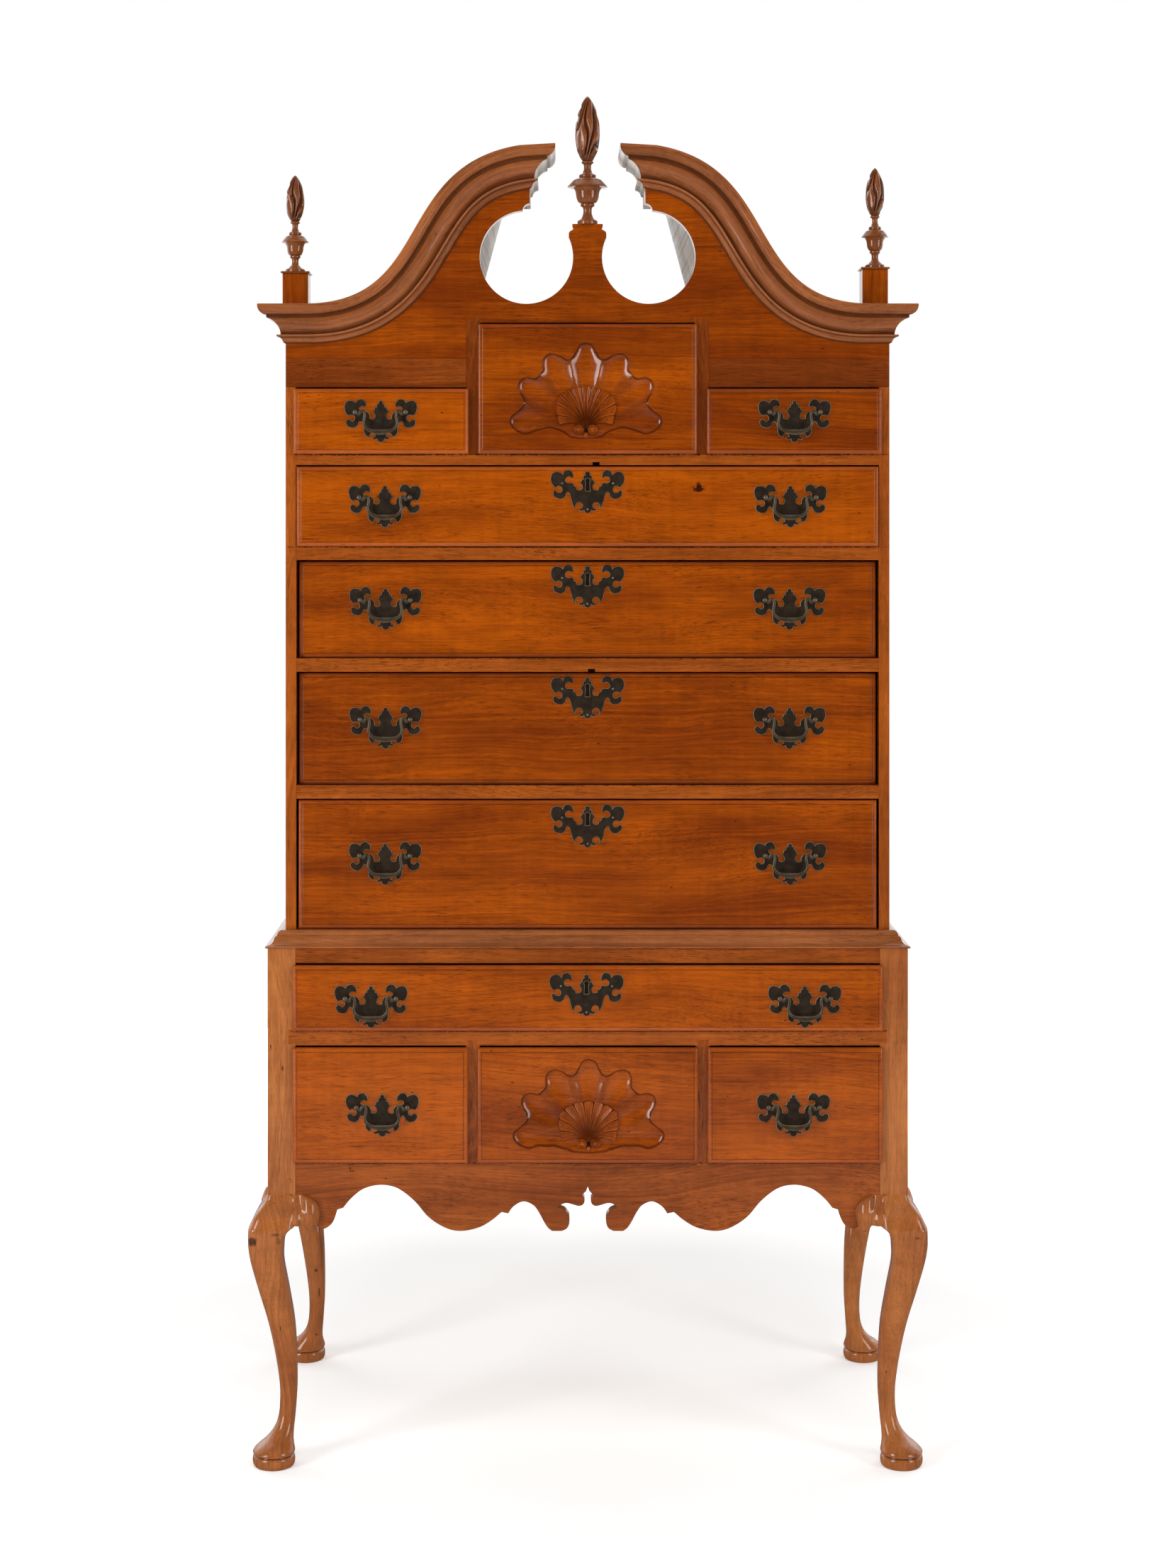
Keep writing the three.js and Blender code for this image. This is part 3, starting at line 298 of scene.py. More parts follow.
def side_face(x, inward=1):
    """Places an outline drawn in y and z with its face at the plane x"""
    return lambda u, v, depth: (x + inward * depth, u, v)


# Curves

def spline(points, steps=6, closed=False):
    """A smooth curve through the points"""
    count = len(points)
    curve = []
    for i in range(count if closed else count - 1):
        around = []
        for step in (-1, 0, 1, 2):
            index = i + step
            index = index % count if closed else min(max(index, 0), count - 1)
            around.append(points[index])
        for k in range(steps):
            curve.append(tuple(catmull(values, k / steps) for values in zip(*around)))
    if not closed:
        curve.append(tuple(points[-1]))
    return curve


def catmull(values, t):
    """One step of a smooth curve, between the second and the third value"""
    a, b, c, d = values
    return 0.5 * (
        2 * b + (c - a) * t + (2 * a - 5 * b + 4 * c - d) * t ** 2
        + (3 * b - a - 3 * c + d) * t ** 3)


def bezier(a, b, c, d, steps):
    """A cubic curve without its first point"""
    curve = []
    for k in range(1, steps + 1):
        t = k / steps
        s = 1 - t
        weights = (s ** 3, 3 * s * s * t, 3 * s * t * t, t ** 3)
        curve.append(tuple(
            sum(w * p[i] for w, p in zip(weights, (a, b, c, d))) for i in (0, 1)))
    return curve


def arc(centre, radius, start, end, steps):
    """Points on a circle between two angles in degrees"""
    points = []
    for k in range(steps + 1):
        angle = math.radians(start + (end - start) * k / steps)
        points.append((
            centre[0] + radius * math.cos(angle), centre[1] + radius * math.sin(angle)))
    return points


def both_halves(left):
    """Joins a left half to its mirror image into one closed outline"""
    right = [(-u, v) for u, v in reversed(left)]
    outline = []
    for point in [*left, *right]:
        if not outline or math.dist(point, outline[-1]) > 0.02:
            outline.append(point)
    if math.dist(outline[0], outline[-1]) < 0.02:
        outline.pop()
    return outline


def smooth(low, high, value):
    """Rises softly from 0 at low to 1 at high"""
    t = min(max((value - low) / (high - low), 0.0), 1.0)
    return t * t * (3 - 2 * t)


# Materials

class Graph:
    """Builds the nodes of a material or of the world in few words"""

    def __init__(self, owner, shader="Principled BSDF"):
        owner.use_nodes = True
        self.owner = owner
        self.tree = owner.node_tree
        self.shader = self.tree.nodes[shader]

    def put(self, socket, value):
        if isinstance(value, bpy.types.NodeSocket):
            self.tree.links.new(value, socket)
        else:
            socket.default_value = value

    def finish(self, inputs):
        """Sets the shader's sockets and hands back what the nodes belong to"""
        for key, value in inputs.items():
            self.put(self.shader.inputs[key], value)
        return self.owner

    def node(self, kind, output, inputs=None, **settings):
        node = self.tree.nodes.new(kind)
        for key, value in settings.items():
            setattr(node, key, value)
        for key, value in (inputs or {}).items():
            self.put(node.inputs[key], value)
        return node.outputs[output]

    def math(self, operation, a, b=0.0, clamp=False):
        return self.node("ShaderNodeMath", 0, {0: a, 1: b}, operation=operation, use_clamp=clamp)

    def vector(self, operation, a, b=(0, 0, 0), output=0):
        return self.node("ShaderNodeVectorMath", output, {0: a, 1: b}, operation=operation)

    def length(self, place):
        return self.vector("LENGTH", place, output="Value")

    def attribute(self, name, output="Fac"):
        return self.node("ShaderNodeAttribute", output, attribute_name=name)

    def stretched(self, place, along, across):
        """Scales a place in the wood along its grain and across it"""
        return self.vector("MULTIPLY", place, (along, across, across))

    def noise(self, place, detail=2.0, roughness=0.5, distortion=0.0):
        return self.node("ShaderNodeTexNoise", "Fac", {
            "Vector": place, "Scale": 1.0, "Detail": detail, "Roughness": roughness,
            "Distortion": distortion})

    def between(self, value, low, high, start=0.0, end=1.0):
        """Turns the range from low to high into the range from start to end"""
        return self.node("ShaderNodeMapRange", 0, {
            "Value": value, "From Min": low, "From Max": high, "To Min": start, "To Max": end})

    def mixed(self, share, a, b):
        return self.node("ShaderNodeMix", 2, {0: share, 6: a, 7: b}, data_type="RGBA")

    def scaled(self, tint, share):
        return self.node("ShaderNodeVectorMath", 0, {0: tint, "Scale": share}, operation="SCALE")

    def bump(self, strength, distance, height):
        return self.node("ShaderNodeBump", 0, {
            "Strength": strength, "Distance": distance, "Height": height})

    def near(self, centre, reach):
        """1 at a place on the piece and 0 outside a ragged blot of that reach, in millimetres"""
        place = self.node("ShaderNodeTexCoord", "Object")
        moved = self.vector("SUBTRACT", place, tuple(c * MM for c in centre))
        sized = self.vector("MULTIPLY", moved, tuple(1 / (r * MM) for r in reach))
        wobble = self.between(self.noise(self.stretched(place, 260, 260), 3.0), 0.3, 0.7, -0.35, 0.35)
        return self.between(self.math("ADD", self.length(sized), wobble), 1.0, 0.55)


def colour(values):
    return (*values, 1.0)


def darker(values, share):
    return colour([value * share for value in values[:3]])


def wood_material(name, pale, deep, pore, streak=1.0, marks=()):
    """Varnished wood with streaks, pores and a plain-sawn figure along each piece's grain"""
    g = Graph(bpy.data.materials.new(name))
    fibre = g.attribute("grain", "Vector")
    shade = g.attribute("shade")

    # The grain's wander, and the growth rings round a heart that drifts along the board
    drift = g.noise(g.stretched(fibre, 2.2, 7))
    ripple = g.noise(g.stretched(fibre, 9, 40))
    wander = g.math("ADD", g.between(drift, 0, 1, -0.03, 0.03), g.between(ripple, 0, 1, -0.003, 0.003))
    moved = g.vector("ADD", fibre, g.node("ShaderNodeCombineXYZ", 0, {"Y": wander, "Z": wander}))
    apart = g.node("ShaderNodeSeparateXYZ", 0, {0: moved}).node
    heart = g.between(g.noise(g.stretched(fibre, 1.3, 0.0), 1.0), 0.25, 0.75, -0.09, 0.13)
    across = g.math("POWER", apart.outputs["Y"], 2.0)
    through = g.math("POWER", g.math("ADD", apart.outputs["Z"], heart), 2.0)
    ring = g.math("MULTIPLY", g.math("SQRT", g.math("ADD", across, through)), 210.0)
    growth = g.noise(g.node("ShaderNodeCombineXYZ", 0, {"X": ring}), 3.0, 0.6)

    # Broad blotches and rings set the body, and fine streaks and cross ripples make it lively
    blotch = g.noise(g.stretched(moved, 3.2, 15), 3.0, 0.55)
    mottle = g.noise(g.stretched(moved, 16, 70), 3.0, 0.6)
    fine = g.noise(g.stretched(moved, 16, 620), 3.0, 0.65)
    cross = g.noise(g.stretched(moved, 95, 9))
    tone = g.math(
        "ADD", g.between(blotch, 0.32, 0.68, -0.12, 0.62), g.between(growth, 0.32, 0.68, -0.05, 0.55))
    body = g.mixed(g.math("SUBTRACT", tone, g.attribute("tone")), colour(pale), colour(deep))
    lively = g.math(
        "ADD", g.between(fine, 0.25, 0.75, 0.76, 1.2), g.between(mottle, 0.3, 0.7, -0.13, 0.12))
    lively = g.math("ADD", lively, g.between(cross, 0.3, 0.7, -0.05, 0.05))

    # Pores and flecks, in patches, and a few dark specks
    pores = g.noise(g.stretched(moved, 42, 880))
    flecks = g.noise(g.stretched(moved, 95, 1500), 1.0, 0.4)
    dark_pores = g.between(pores, 0.55, 0.69, 0, 0.75 * streak)
    dark_flecks = g.between(flecks, 0.6, 0.75, 0, 0.5 * streak)
    patchy = g.between(g.noise(g.stretched(moved, 6, 22)), 0.35, 0.65, 0.35, 1.0)
    depth = g.math("MULTIPLY", g.math("MAXIMUM", dark_pores, dark_flecks), patchy, clamp=True)
    grained = g.mixed(depth, g.scaled(body, lively), colour(pore))
    specks = g.node("ShaderNodeTexVoronoi", "Distance", {
        "Vector": g.stretched(fibre, 16, 30), "Scale": 1.0, "Randomness": 1.0})
    speckled = g.mixed(g.between(specks, 0.045, 0.02, 0, 0.8), grained, darker(pore, 0.5))
    # Knots, blots and cracks, and the painted shadow lines with grime below the drawer fronts
    for centre, reach, strength in marks:
        blot = g.math("MULTIPLY", g.near(centre, reach), strength)
        speckled = g.mixed(blot, speckled, darker(pore, 0.35))

    # Painted shade in hollows and grooves with a few dark joints, and pale wear with painted highlights
    # and reflections on the edges, by each point's shade
    joints_and_shade = g.mixed(g.between(shade, 0, -1), speckled, darker(pore, 0.6))
    wear_and_highlight = colour([min(1, 1.25 * c + 0.06) for c in pale])
    relief = g.math("SUBTRACT", g.between(fine, 0, 1, 0, 0.35), depth)
    return g.finish({
        "Base Color": g.mixed(g.between(shade, 0, 1, 0, 0.6), joints_and_shade, wear_and_highlight),
        "Roughness": g.between(fine, 0.2, 0.8, 0.36, 0.5),
        "Coat Weight": 1.0,
        "Coat Roughness": 0.15,
        "Specular IOR Level": 0.06,
        "Normal": g.bump(0.22, 0.0003, relief),
        "Coat Normal": g.bump(0.1, 0.0006, g.noise(g.stretched(fibre, 14, 60))),
    })


def raw_wood_material(name, pale, deep, dark):
    """Bare inner wood, dusty and darker in patches"""
    g = Graph(bpy.data.materials.new(name))
    fibre = g.attribute("grain", "Vector")
    broad = g.noise(g.stretched(fibre, 3, 26), 3.0, 0.6)
    fine = g.noise(g.stretched(fibre, 12, 420), 3.0, 0.65)
    stain = g.noise(g.stretched(fibre, 5, 5), 4.0, 0.6)
    growth = g.noise(g.stretched(fibre, 1.2, 120), 2.0, 0.5, 0.4)
    body = g.mixed(g.between(broad, 0.3, 0.7), colour(pale), colour(deep))
    ringed = g.mixed(g.between(growth, 0.45, 0.7, 0, 0.45), body, colour(dark))
    lit = g.scaled(ringed, g.between(fine, 0.2, 0.8, 0.82, 1.14))
    aged = g.mixed(g.between(stain, 0.5, 0.8, 0, 0.6), lit, colour(dark))
    # Painted shade where a point's shade is below 0, as on the cornice's returns in the gap
    painted_shading = g.between(g.attribute("shade"), 0, -1, 0, 0.8)
    return g.finish({
        "Base Color": g.mixed(painted_shading, aged, darker(dark, 0.4)),
        "Roughness": g.between(fine, 0.2, 0.8, 0.62, 0.85),
        "Specular IOR Level": 0.25,
        "Normal": g.bump(0.35, 0.0004, fine),
    })


def brass_material(name, dark, bright):
    """Old cast brass: nearly black on its faces and bright where hands and polish wear it"""
    g = Graph(bpy.data.materials.new(name))
    place = g.attribute("grain", "Vector")
    cloud = g.noise(g.stretched(place, 90, 90), 4.0, 0.6)
    grit = g.noise(g.stretched(place, 900, 900), 2.0, 0.6)
    tarnish = g.mixed(g.between(cloud, 0.35, 0.65), colour(dark), darker(dark, 1.9))
    wear = g.math("MULTIPLY", g.attribute("shade"), g.between(cloud, 0.25, 0.55, 0.55, 1.0), clamp=True)
    relief = g.math("ADD", g.math("MULTIPLY", cloud, 0.6), g.math("MULTIPLY", grit, 0.25))
    return g.finish({
        "Base Color": g.mixed(wear, tarnish, colour(bright)),
        "Roughness": g.between(grit, 0.3, 0.7, 0.3, 0.46),
        "Metallic": 0.6,
        "Normal": g.bump(0.35, 0.0005, relief),
    })


def shadow_material(name):
    """Painted shade for the inside of a keyhole, a notch or a hole: near-black, rough wood"""
    g = Graph(bpy.data.materials.new(name))
    speck = g.noise(g.stretched(g.attribute("grain", "Vector"), 300, 300))
    return g.finish({
        "Base Color": g.mixed(speck, (0.006, 0.003, 0.002, 1), (0.014, 0.007, 0.004, 1)),
        "Roughness": 0.9,
        "Specular IOR Level": 0.1,
    })


def floor_material(name, tint):
    """A pale matt floor that glows with painted light, more and more away from the object, until it
    meets the white backdrop
    """
    g = Graph(bpy.data.materials.new(name))
    place = g.node("ShaderNodeTexCoord", "Object")
    mirrored = g.node("ShaderNodeLightPath", "Is Glossy Ray")
    glow = g.between(g.length(place), 0.9, 2.2, 0.32, 1.0)
    share = g.between(mirrored, 0, 1, 1.0, FLOOR_MIRRORED)
    cloud = g.noise(g.stretched(place, 2, 2), 3.0)
    paint = g.mixed(cloud, colour(tint), darker(tint, 0.99))
    return g.finish({
        "Emission Color": (1, 1, 1, 1),
        "Emission Strength": g.math("MULTIPLY", glow, share),
        "Base Color": g.mixed(mirrored, paint, darker(tint, FLOOR_MIRRORED)),
        "Roughness": 0.85,
        "Specular IOR Level": 0.2,
    })


# The thickness of a drawer front's lip, and the thin dark line painted on the case below it,
# the lip's painted shadow with some old grime: how far down its middle lies, and half its height
LIP_THICK = 9
SHADOW_AND_GRIME_DOWN = 0.9
SHADOW_AND_GRIME_HALF = 1.7

# Blots and cracks in the fronts and the case: place, reach along each axis, and how dark
FRONT_MARKS = (
    ((168, -235, 1474), (11, 30, 6), 0.95), ((168, -235, 1480), (4, 30, 5), 0.9),
    ((-425, -235, 1398), (18, 30, 0.9), 0.8),
)
CASE_MARKS = (
    ((-358, -255, 449), (1.2, 30, 4.5), 0.8), ((-355, -255, 445.5), (3.5, 30, 1.2), 0.8),
)


def shadow_and_grime_lines():
    """Thin dark lines painted on the case just below each drawer front: the fronts' painted shadows,
    with some old grime
    """
    lines = []
    for drawer in LIPPED + LONG:
        low, high = node_box(f"drawer_{drawer}")
        half = (high.x - low.x) / 2
        middle = ((low.x + high.x) / 2, low.y + LIP_THICK, low.z - SHADOW_AND_GRIME_DOWN)
        lines.append((middle, (1.3 * half, 20, SHADOW_AND_GRIME_HALF), 0.9))
    return tuple(lines)


FINISHES = {}


def mix_finishes(woods):
    """Makes every finish from the settings' colours, once"""
    def shades(wood):
        return f"{wood}_wood", getattr(woods, f"{wood}_pale"), getattr(woods, f"{wood}_deep")

    varnished = {
        "front": dict(marks=FRONT_MARKS),
        "case": dict(streak=1.1, marks=CASE_MARKS + shadow_and_grime_lines()),
        "moulding": {},
        "leg": dict(streak=0.6, marks=KNOTS),
        "turned": dict(streak=0.5),
    }
    for wood, more in varnished.items():
        FINISHES[f"{wood}_wood"] = wood_material(*shades(wood), woods.pore, **more)
    for wood in ("inner", "bonnet"):
        FINISHES[f"{wood}_wood"] = raw_wood_material(*shades(wood), woods.inner_dark)
    FINISHES["pull_brass"] = brass_material("pull_brass", woods.brass_dark, woods.brass_bright)
    FINISHES["hollow_shadow"] = shadow_material("hollow_shadow")


# How much boards of one wood differ from each other
TONE_SPREAD = 0.16


def make_piece(name, timber, finish, body="case", stands_for=(), sharp=32, tone=0.0):
    """Turns the gathered points into an object that rides on a body. tone makes its wood paler."""
    mesh = bpy.data.meshes.new(name)
    mesh.from_pydata([Vector(place) * MM for place in timber.points], [], timber.faces)
    form = bmesh.new()
    form.from_mesh(mesh)
    bmesh.ops.recalc_face_normals(form, faces=form.faces)
    form.to_mesh(mesh)
    form.free()
    seed = zlib.crc32(name.encode())
    shift = (seed % 4999 / 1000, seed % 983 / 4000, seed % 769 / 9000)
    grain = mesh.attributes.new("grain", "FLOAT_VECTOR", "POINT")
    grain.data.foreach_set("vector", [
        value * MM + move for fibre in timber.fibres for value, move in zip(fibre, shift)])
    shade = mesh.attributes.new("shade", "FLOAT", "POINT")
    shade.data.foreach_set("value", timber.shades)
    own_tone = tone + (seed % 101 / 100 - 0.5) * TONE_SPREAD
    mesh.attributes.new("tone", "FLOAT", "POINT").data.foreach_set(
        "value", [own_tone] * len(timber.points))
    mesh.polygons.foreach_set("use_smooth", [True] * len(mesh.polygons))
    mesh.set_sharp_from_angle(angle=math.radians(sharp))
    piece = bpy.data.objects.new(name, mesh)
    bpy.context.scene.collection.objects.link(piece)
    weighted = piece.modifiers.new("even shading", "WEIGHTED_NORMAL")
    weighted.keep_sharp = True
    mesh.materials.append(FINISHES[finish])
    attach(piece, body)
    if stands_for:
        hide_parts(*stands_for)
    return piece


def board(name, low, high, finish="inner_wood", grain="x", **more):
    """A single squared board"""
    timber = Timber(grain)
    timber.block(low, high)
    make_piece(name, timber, finish, **more)


def side_board(name, sign, span, low, high, finish="inner_wood", grain="y", **more):
    """A squared board on one side, from its span outwards and its corners' y and z"""
    near, far = sorted(sign * x for x in span)
    board(name, (near, *low), (far, *high), finish, grain, **more)


def sawn_board(name, outline, place, thickness, edge, finish, grain="x", **more):
    """A board cut to an outline"""
    timber = Timber(grain)
    timber.sawn(outline, place, thickness, edge)
    make_piece(name, timber, finish, **more)


def turned_to_front(name, profile, centre, steps, finish, shade=None, grain="z", **more):
    """A small turned piece that points to the front"""
    timber = Timber(grain)
    timber.turned(profile, centre, steps, shade, axis="y")
    make_piece(name, timber, finish, **more)


# Lower case

# The leg's silhouette from the floor up: height, how far the outer line stands out from the
# post's outer face, how far the inner line stands in from it, and how square the section is
FOOT_STATIONS = [
    (0, 18.5, 36.6, 2), (1.2, 20.4, 38.4, 2), (5, 22.6, 40.2, 2), (11, 23.2, 40.6, 2),
    (15.5, 22.4, 39.8, 2), (17.6, 20.8, 38.2, 2), (18.8, 20.5, 38, 2), (20.2, 22.4, 39.4, 2),
    (22.5, 22.8, 40.4, 2), (25.5, 21, 40, 2),
]
FOOT_TOP = 28
LEG_STATIONS = [
    (0, 18.5, 39.4, 2), (0.012, 13, 38.4, 2), (0.03, 3.6, 37.4, 2), (0.06, -6.6, 37.6, 2),
    (0.1, -13.2, 39, 2), (0.16, -15.8, 40.8, 2), (0.24, -15, 42.4, 2.1), (0.36, -8.8, 42, 2.4),
    (0.49, 0.8, 39.4, 2.8), (0.62, 13.4, 32.4, 3.3), (0.74, 24.2, 24.9, 3.9), (0.8, 27.6, 24.8, 4.3),
    (0.83, 28, 26, 4.6), (0.85, 28, 28.8, 4.8), (0.866, 27.8, 33.4, 5), (0.876, 27.6, 38, 5),
    (0.886, 26, 42, 5), (0.93, 17.5, 42, 5.5), (0.97, 5, 42, 6), (1, 0, 42, 7),
]
LEG_SIDES = 56
LEG_STEPS = 5

# The furthest that a knee stands out of the post, and the height above which its inner line
# stays within the post
KNEE_OUT = 28
KNEE_LOW = 350

# Knots and stains on the legs: place, reach along each axis, and how dark
KNOTS = (
    ((-503, -282, 346), (8, 40, 8), 0.85), ((-467, -282, 357), (8, 40, 2.5), 0.55),
    ((-463, -282, 347), (4, 40, 8), 0.4), ((-463, -270, 208), (1.2, 40, 5), 0.8),
    ((-473, -262, 399), (1, 40, 1), 0.9), ((-476, -282, 45), (4, 40, 1.8), 0.8),
    ((493, -282, 352), (7, 40, 2), 0.5), ((-454, 230, 159), (4, 60, 3.5), 0.7),
    ((-449, 230, 121), (2, 60, 9), 0.7), ((-454, 230, 48), (3.5, 60, 2), 0.6),
    ((-478, -255, 632), (1, 20, 5.5), 0.9), ((-460, -255, 601), (1.8, 20, 5), 0.7),
)

# The knee block, measured inwards from the post and down from the knee's top. Its free end
# rolls over round ROLL_MIDDLE.
BRACKET_REACH = 37
BRACKET_START = -10
BRACKET_DROP = 45
BRACKET_COLUMNS = 30
BRACKET_ROWS = 20
ROLL_MIDDLE = (24, -27)
ROLL_DROP = 28
ROLL_PROUD = 17


def leg_section(height, outer, inner, squareness, corner, turn):
    """One rounded square ring of a leg. corner is the post's outer corner."""
    middle = (inner - outer) / 2
    half = (inner + outer) / 2
    ring = []
    for i in range(LEG_SIDES):
        angle = 2 * math.pi * i / LEG_SIDES
        u, v = (
            middle + half * math.copysign(abs(part) ** (2 / squareness), part)
            for part in (math.cos(angle), math.sin(angle)))
        ring.append((corner[0] + turn[0] * u, corner[1] + turn[1] * v, height))
    return ring


def leg_stations():
    """Every ring of a leg, as height, outer line, inner line and squareness"""
    shaft = [(FOOT_TOP + share * (LEG_HEIGHT - FOOT_TOP), *rest) for share, *rest in LEG_STATIONS]
    return [
        (height, min(outer, KNEE_OUT), min(inner, POST) if height > KNEE_LOW else inner, squareness)
        for height, outer, inner, squareness in [*spline(FOOT_STATIONS, 3), *spline(shaft, LEG_STEPS)]]


def leg(name, side, end):
    """A cabriole leg with its post, from one stick. side is -1 at the left, end -1 in front."""
    corner = (side * LOWER_HALF, end * BACK)
    turn = (-side, -end)
    stations = leg_stations()
    timber = Timber("z")

    # Painted shade in the groove and under the pad; the fillet above the groove is paler with wear
    def foot_shade(i, j):
        height = stations[i][0]
        if height < 1 or 16.5 < height < 19.6:
            return -0.6
        return 0.4 if 19.6 < height < 21.5 else 0.0

    timber.loft([leg_section(*station, corner, turn) for station in stations], shade=foot_shade)
    low = [min(corner[i], corner[i] + turn[i] * POST) for i in (0, 1)]
    timber.block((*low, LEG_HEIGHT - 1), (low[0] + POST, low[1] + POST, LOWER_TOP), edge=0.5)
    make_piece(name, timber, "leg_wood", stands_for=(name.replace("_stick", ""),))


def knee_reach(height):
    """How far the knee stands out of the post's face at a height"""
    stations = leg_stations()
    for below, above in zip(stations, stations[1:]):
        if below[0] <= height <= above[0]:
            share = (height - below[0]) / (above[0] - below[0] or 1)
            return below[1] + share * (above[1] - below[1])
    return 0.0


def bracket_edges(u):
    """The knee block's top and bottom edge at a distance inwards from the post's inner face"""
    top = 0.0
    if u > 6:
        top = ROLL_MIDDLE[1] * (1 - math.sqrt(max(0.0, 1 - ((u - 6) / (BRACKET_REACH - 6)) ** 2)))
    roll = max(0.0, 1 - ((u - ROLL_MIDDLE[0]) / (BRACKET_REACH - ROLL_MIDDLE[0])) ** 2)
    bottom = ROLL_MIDDLE[1] - ROLL_DROP * math.sqrt(roll)
    return top, bottom if u > ROLL_MIDDLE[0] else min(bottom, -BRACKET_DROP)


def bracket_reach(u, v):
    """How far the knee block's face stands out of the case"""
    knee = knee_reach(LEG_HEIGHT + v) - 4 * smooth(-3, -9, u)
    knee -= 3 * smooth(4, 10, u) * smooth(-2, -16, v)
    far = ((u - ROLL_MIDDLE[0]) / 8) ** 2 + ((v - ROLL_MIDDLE[1]) / 15) ** 2
    roll = ROLL_PROUD * (0.8 + 0.2 * math.exp(-far))
    share = smooth(5, 19, u)
    end = max(0.0, (u - ROLL_MIDDLE[0]) / (BRACKET_REACH - ROLL_MIDDLE[0]))
    return (knee * (1 - share) + roll * share) * math.sqrt(max(0.0, 1 - end ** 2))


def bracket(name, side, end, across):
    """A knee block that carries on the knee's face and rolls over at its free end"""
    corner = (side * LOWER_HALF, end * BACK)
    rings = []
    for column in range(BRACKET_COLUMNS + 1):
        share = math.sin(math.pi / 2 * column / BRACKET_COLUMNS)
        u = BRACKET_START + (BRACKET_REACH - BRACKET_START - 0.02) * share
        top, bottom = bracket_edges(u)
        ring = []
        for row in range(BRACKET_ROWS + 1):
            angle = math.pi * (row / BRACKET_ROWS - 0.5)
            v = (top + bottom) / 2 + (top - bottom) / 2 * math.sin(angle)
            out = 0.1 + max(0.0, bracket_reach(u, v)) * max(0.0, math.cos(angle)) ** 0.5
            x, y = (-(POST + u), out) if across == "x" else (out, -(POST + u))
            ring.append((corner[0] + side * x, corner[1] + end * y, LEG_HEIGHT + v))
        rings.append(ring)
    timber = Timber("z")
    timber.loft(rings)
    make_piece(name, timber, "leg_wood", sharp=60)


def build_legs():
    for end_name, end in (("front", -1), ("rear", 1)):
        for side_name, side in SIDES:
            leg(f"leg_{end_name}_{side_name}_stick", side, end)
            bracket(f"knee_block_side_{end_name}_{side_name}", side, end, "y")
            if end < 0:
                bracket(f"knee_block_front_{side_name}", side, end, "x")


# The front apron's lower edge, left half, with heights from the top of the knee. The ogee is
# measured from the post, the arch in shares of its span, and the pattern from the middle.
APRON_END_DROP = 44
APRON_END_FLAT = 28.5
APRON_OGEE = [(39.9, -52), (51.5, -47), (58.5, -37), (62.5, -23)]
APRON_ARCH_IN = 71.9
APRON_ARCH_FOOT = 20
APRON_ARCH = [
    (0.0536, -5), (0.1324, 9), (0.2372, 14.5), (0.342, 9.5), (0.4468, -9), (0.539, -34),
    (0.6438, -50), (0.7402, -55), (0.8533, -50), (0.9371, -39), (1, -26.5),
]
APRON_PATTERN_HALF = 130
APRON_SCALLOP = [
    (-119.8, -28.5), (-112, -18), (-97.3, -10.5), (-83, -15.5), (-74.8, -25), (-66, -41),
    (-60, -50), (-53.5, -55),
]
APRON_LOBE = [
    (-38.9, -55), (-31, -50.5), (-27.6, -41), (-29, -30), (-35.5, -22.5), (-45.6, -19.5),
]
APRON_TONGUE = [(-38, -14), (-30, -13), (-14, -17.2), (-7, -15), (-4.7, -10)]
APRON_SPEAR = [(-4.7, -5.5), (-8.5, -1), (-6.3, 1.4), (-2.5, 5), (0, 12)]


def apron_outline():
    end = -POST_INNER
    start = end + APRON_ARCH_IN
    span = -APRON_PATTERN_HALF - start

    def up(points):
        return [(u, LEG_HEIGHT + v) for u, v in points]

    foot = (end + APRON_END_FLAT, -APRON_END_DROP)
    ogee = [foot, *((end + u, v) for u, v in APRON_OGEE)]
    arch = [(start, -APRON_ARCH_FOOT), *((start + u * span, v) for u, v in APRON_ARCH)]
    left = [
        (end, APRON_TOP), (end, LEG_HEIGHT - APRON_END_DROP),
        *up(spline(ogee)), *up(spline(arch)), *up(spline(APRON_SCALLOP)),
        *up(spline(APRON_LOBE)), *up(spline(APRON_TONGUE)), *up(APRON_SPEAR)]
    return both_halves(left)


# The lower sides' edge, front half. The ogee and the arch's rise are measured from the post, and
# the rest from the middle of the case.
SKIRT_END_DROP = 44
SKIRT_OGEE = [(40, -50), (48, -47), (54, -38), (58, -22)]
SKIRT_ARCH_START = (66, -20)
SKIRT_ARCH_RISE = (90, 22)
SKIRT_ARCH_FALL = (-82, 18)
SKIRT_ARCH_END = (-52, -14)
SKIRT_FLAT_TURN = (-32, -34)


def skirt_outline():
    """A lower side's edge: an arch between two ogees"""
    start = LOWER_FRONT + POST

    def at(point, along=0):
        return along + point[0], LEG_HEIGHT + point[1]

    arch_start = at(SKIRT_ARCH_START, start)
    rise = at(SKIRT_ARCH_RISE, start)
    fall = at(SKIRT_ARCH_FALL)
    end = at(SKIRT_ARCH_END)
    turn = at(SKIRT_FLAT_TURN)
    left = [
        (start, LOWER_TOP), (start, LEG_HEIGHT - SKIRT_END_DROP),
        *(at(point, start) for point in spline(SKIRT_OGEE)),
        arch_start, *bezier(arch_start, rise, fall, end, 24),
        *bezier(end, turn, turn, (0, turn[1]), 8)]
    return both_halves(left)


def build_lower_boards():
    sawn_board("apron_board", apron_outline(), front_face(LOWER_FRONT), FRONT_BOARD, 0.8, "case_wood",
               stands_for=("apron",))
    for side, sign in SIDES:
        sawn_board(f"lower_side_board_{side}", skirt_outline(), side_face(sign * LOWER_HALF, -sign),
                   LOWER_HALF - LOWER_INNER, 0.8, "case_wood", "y", stands_for=(f"lower_side_{side}",))
    build_backs()


# Where the back boards meet, as shares of the height, and the gap between them
LOWER_BACK_SEAM = 0.53
UPPER_BACK_SEAMS = (0.23, 0.47, 0.69, 0.88)
BACK_BOARD_GAP = 1.5


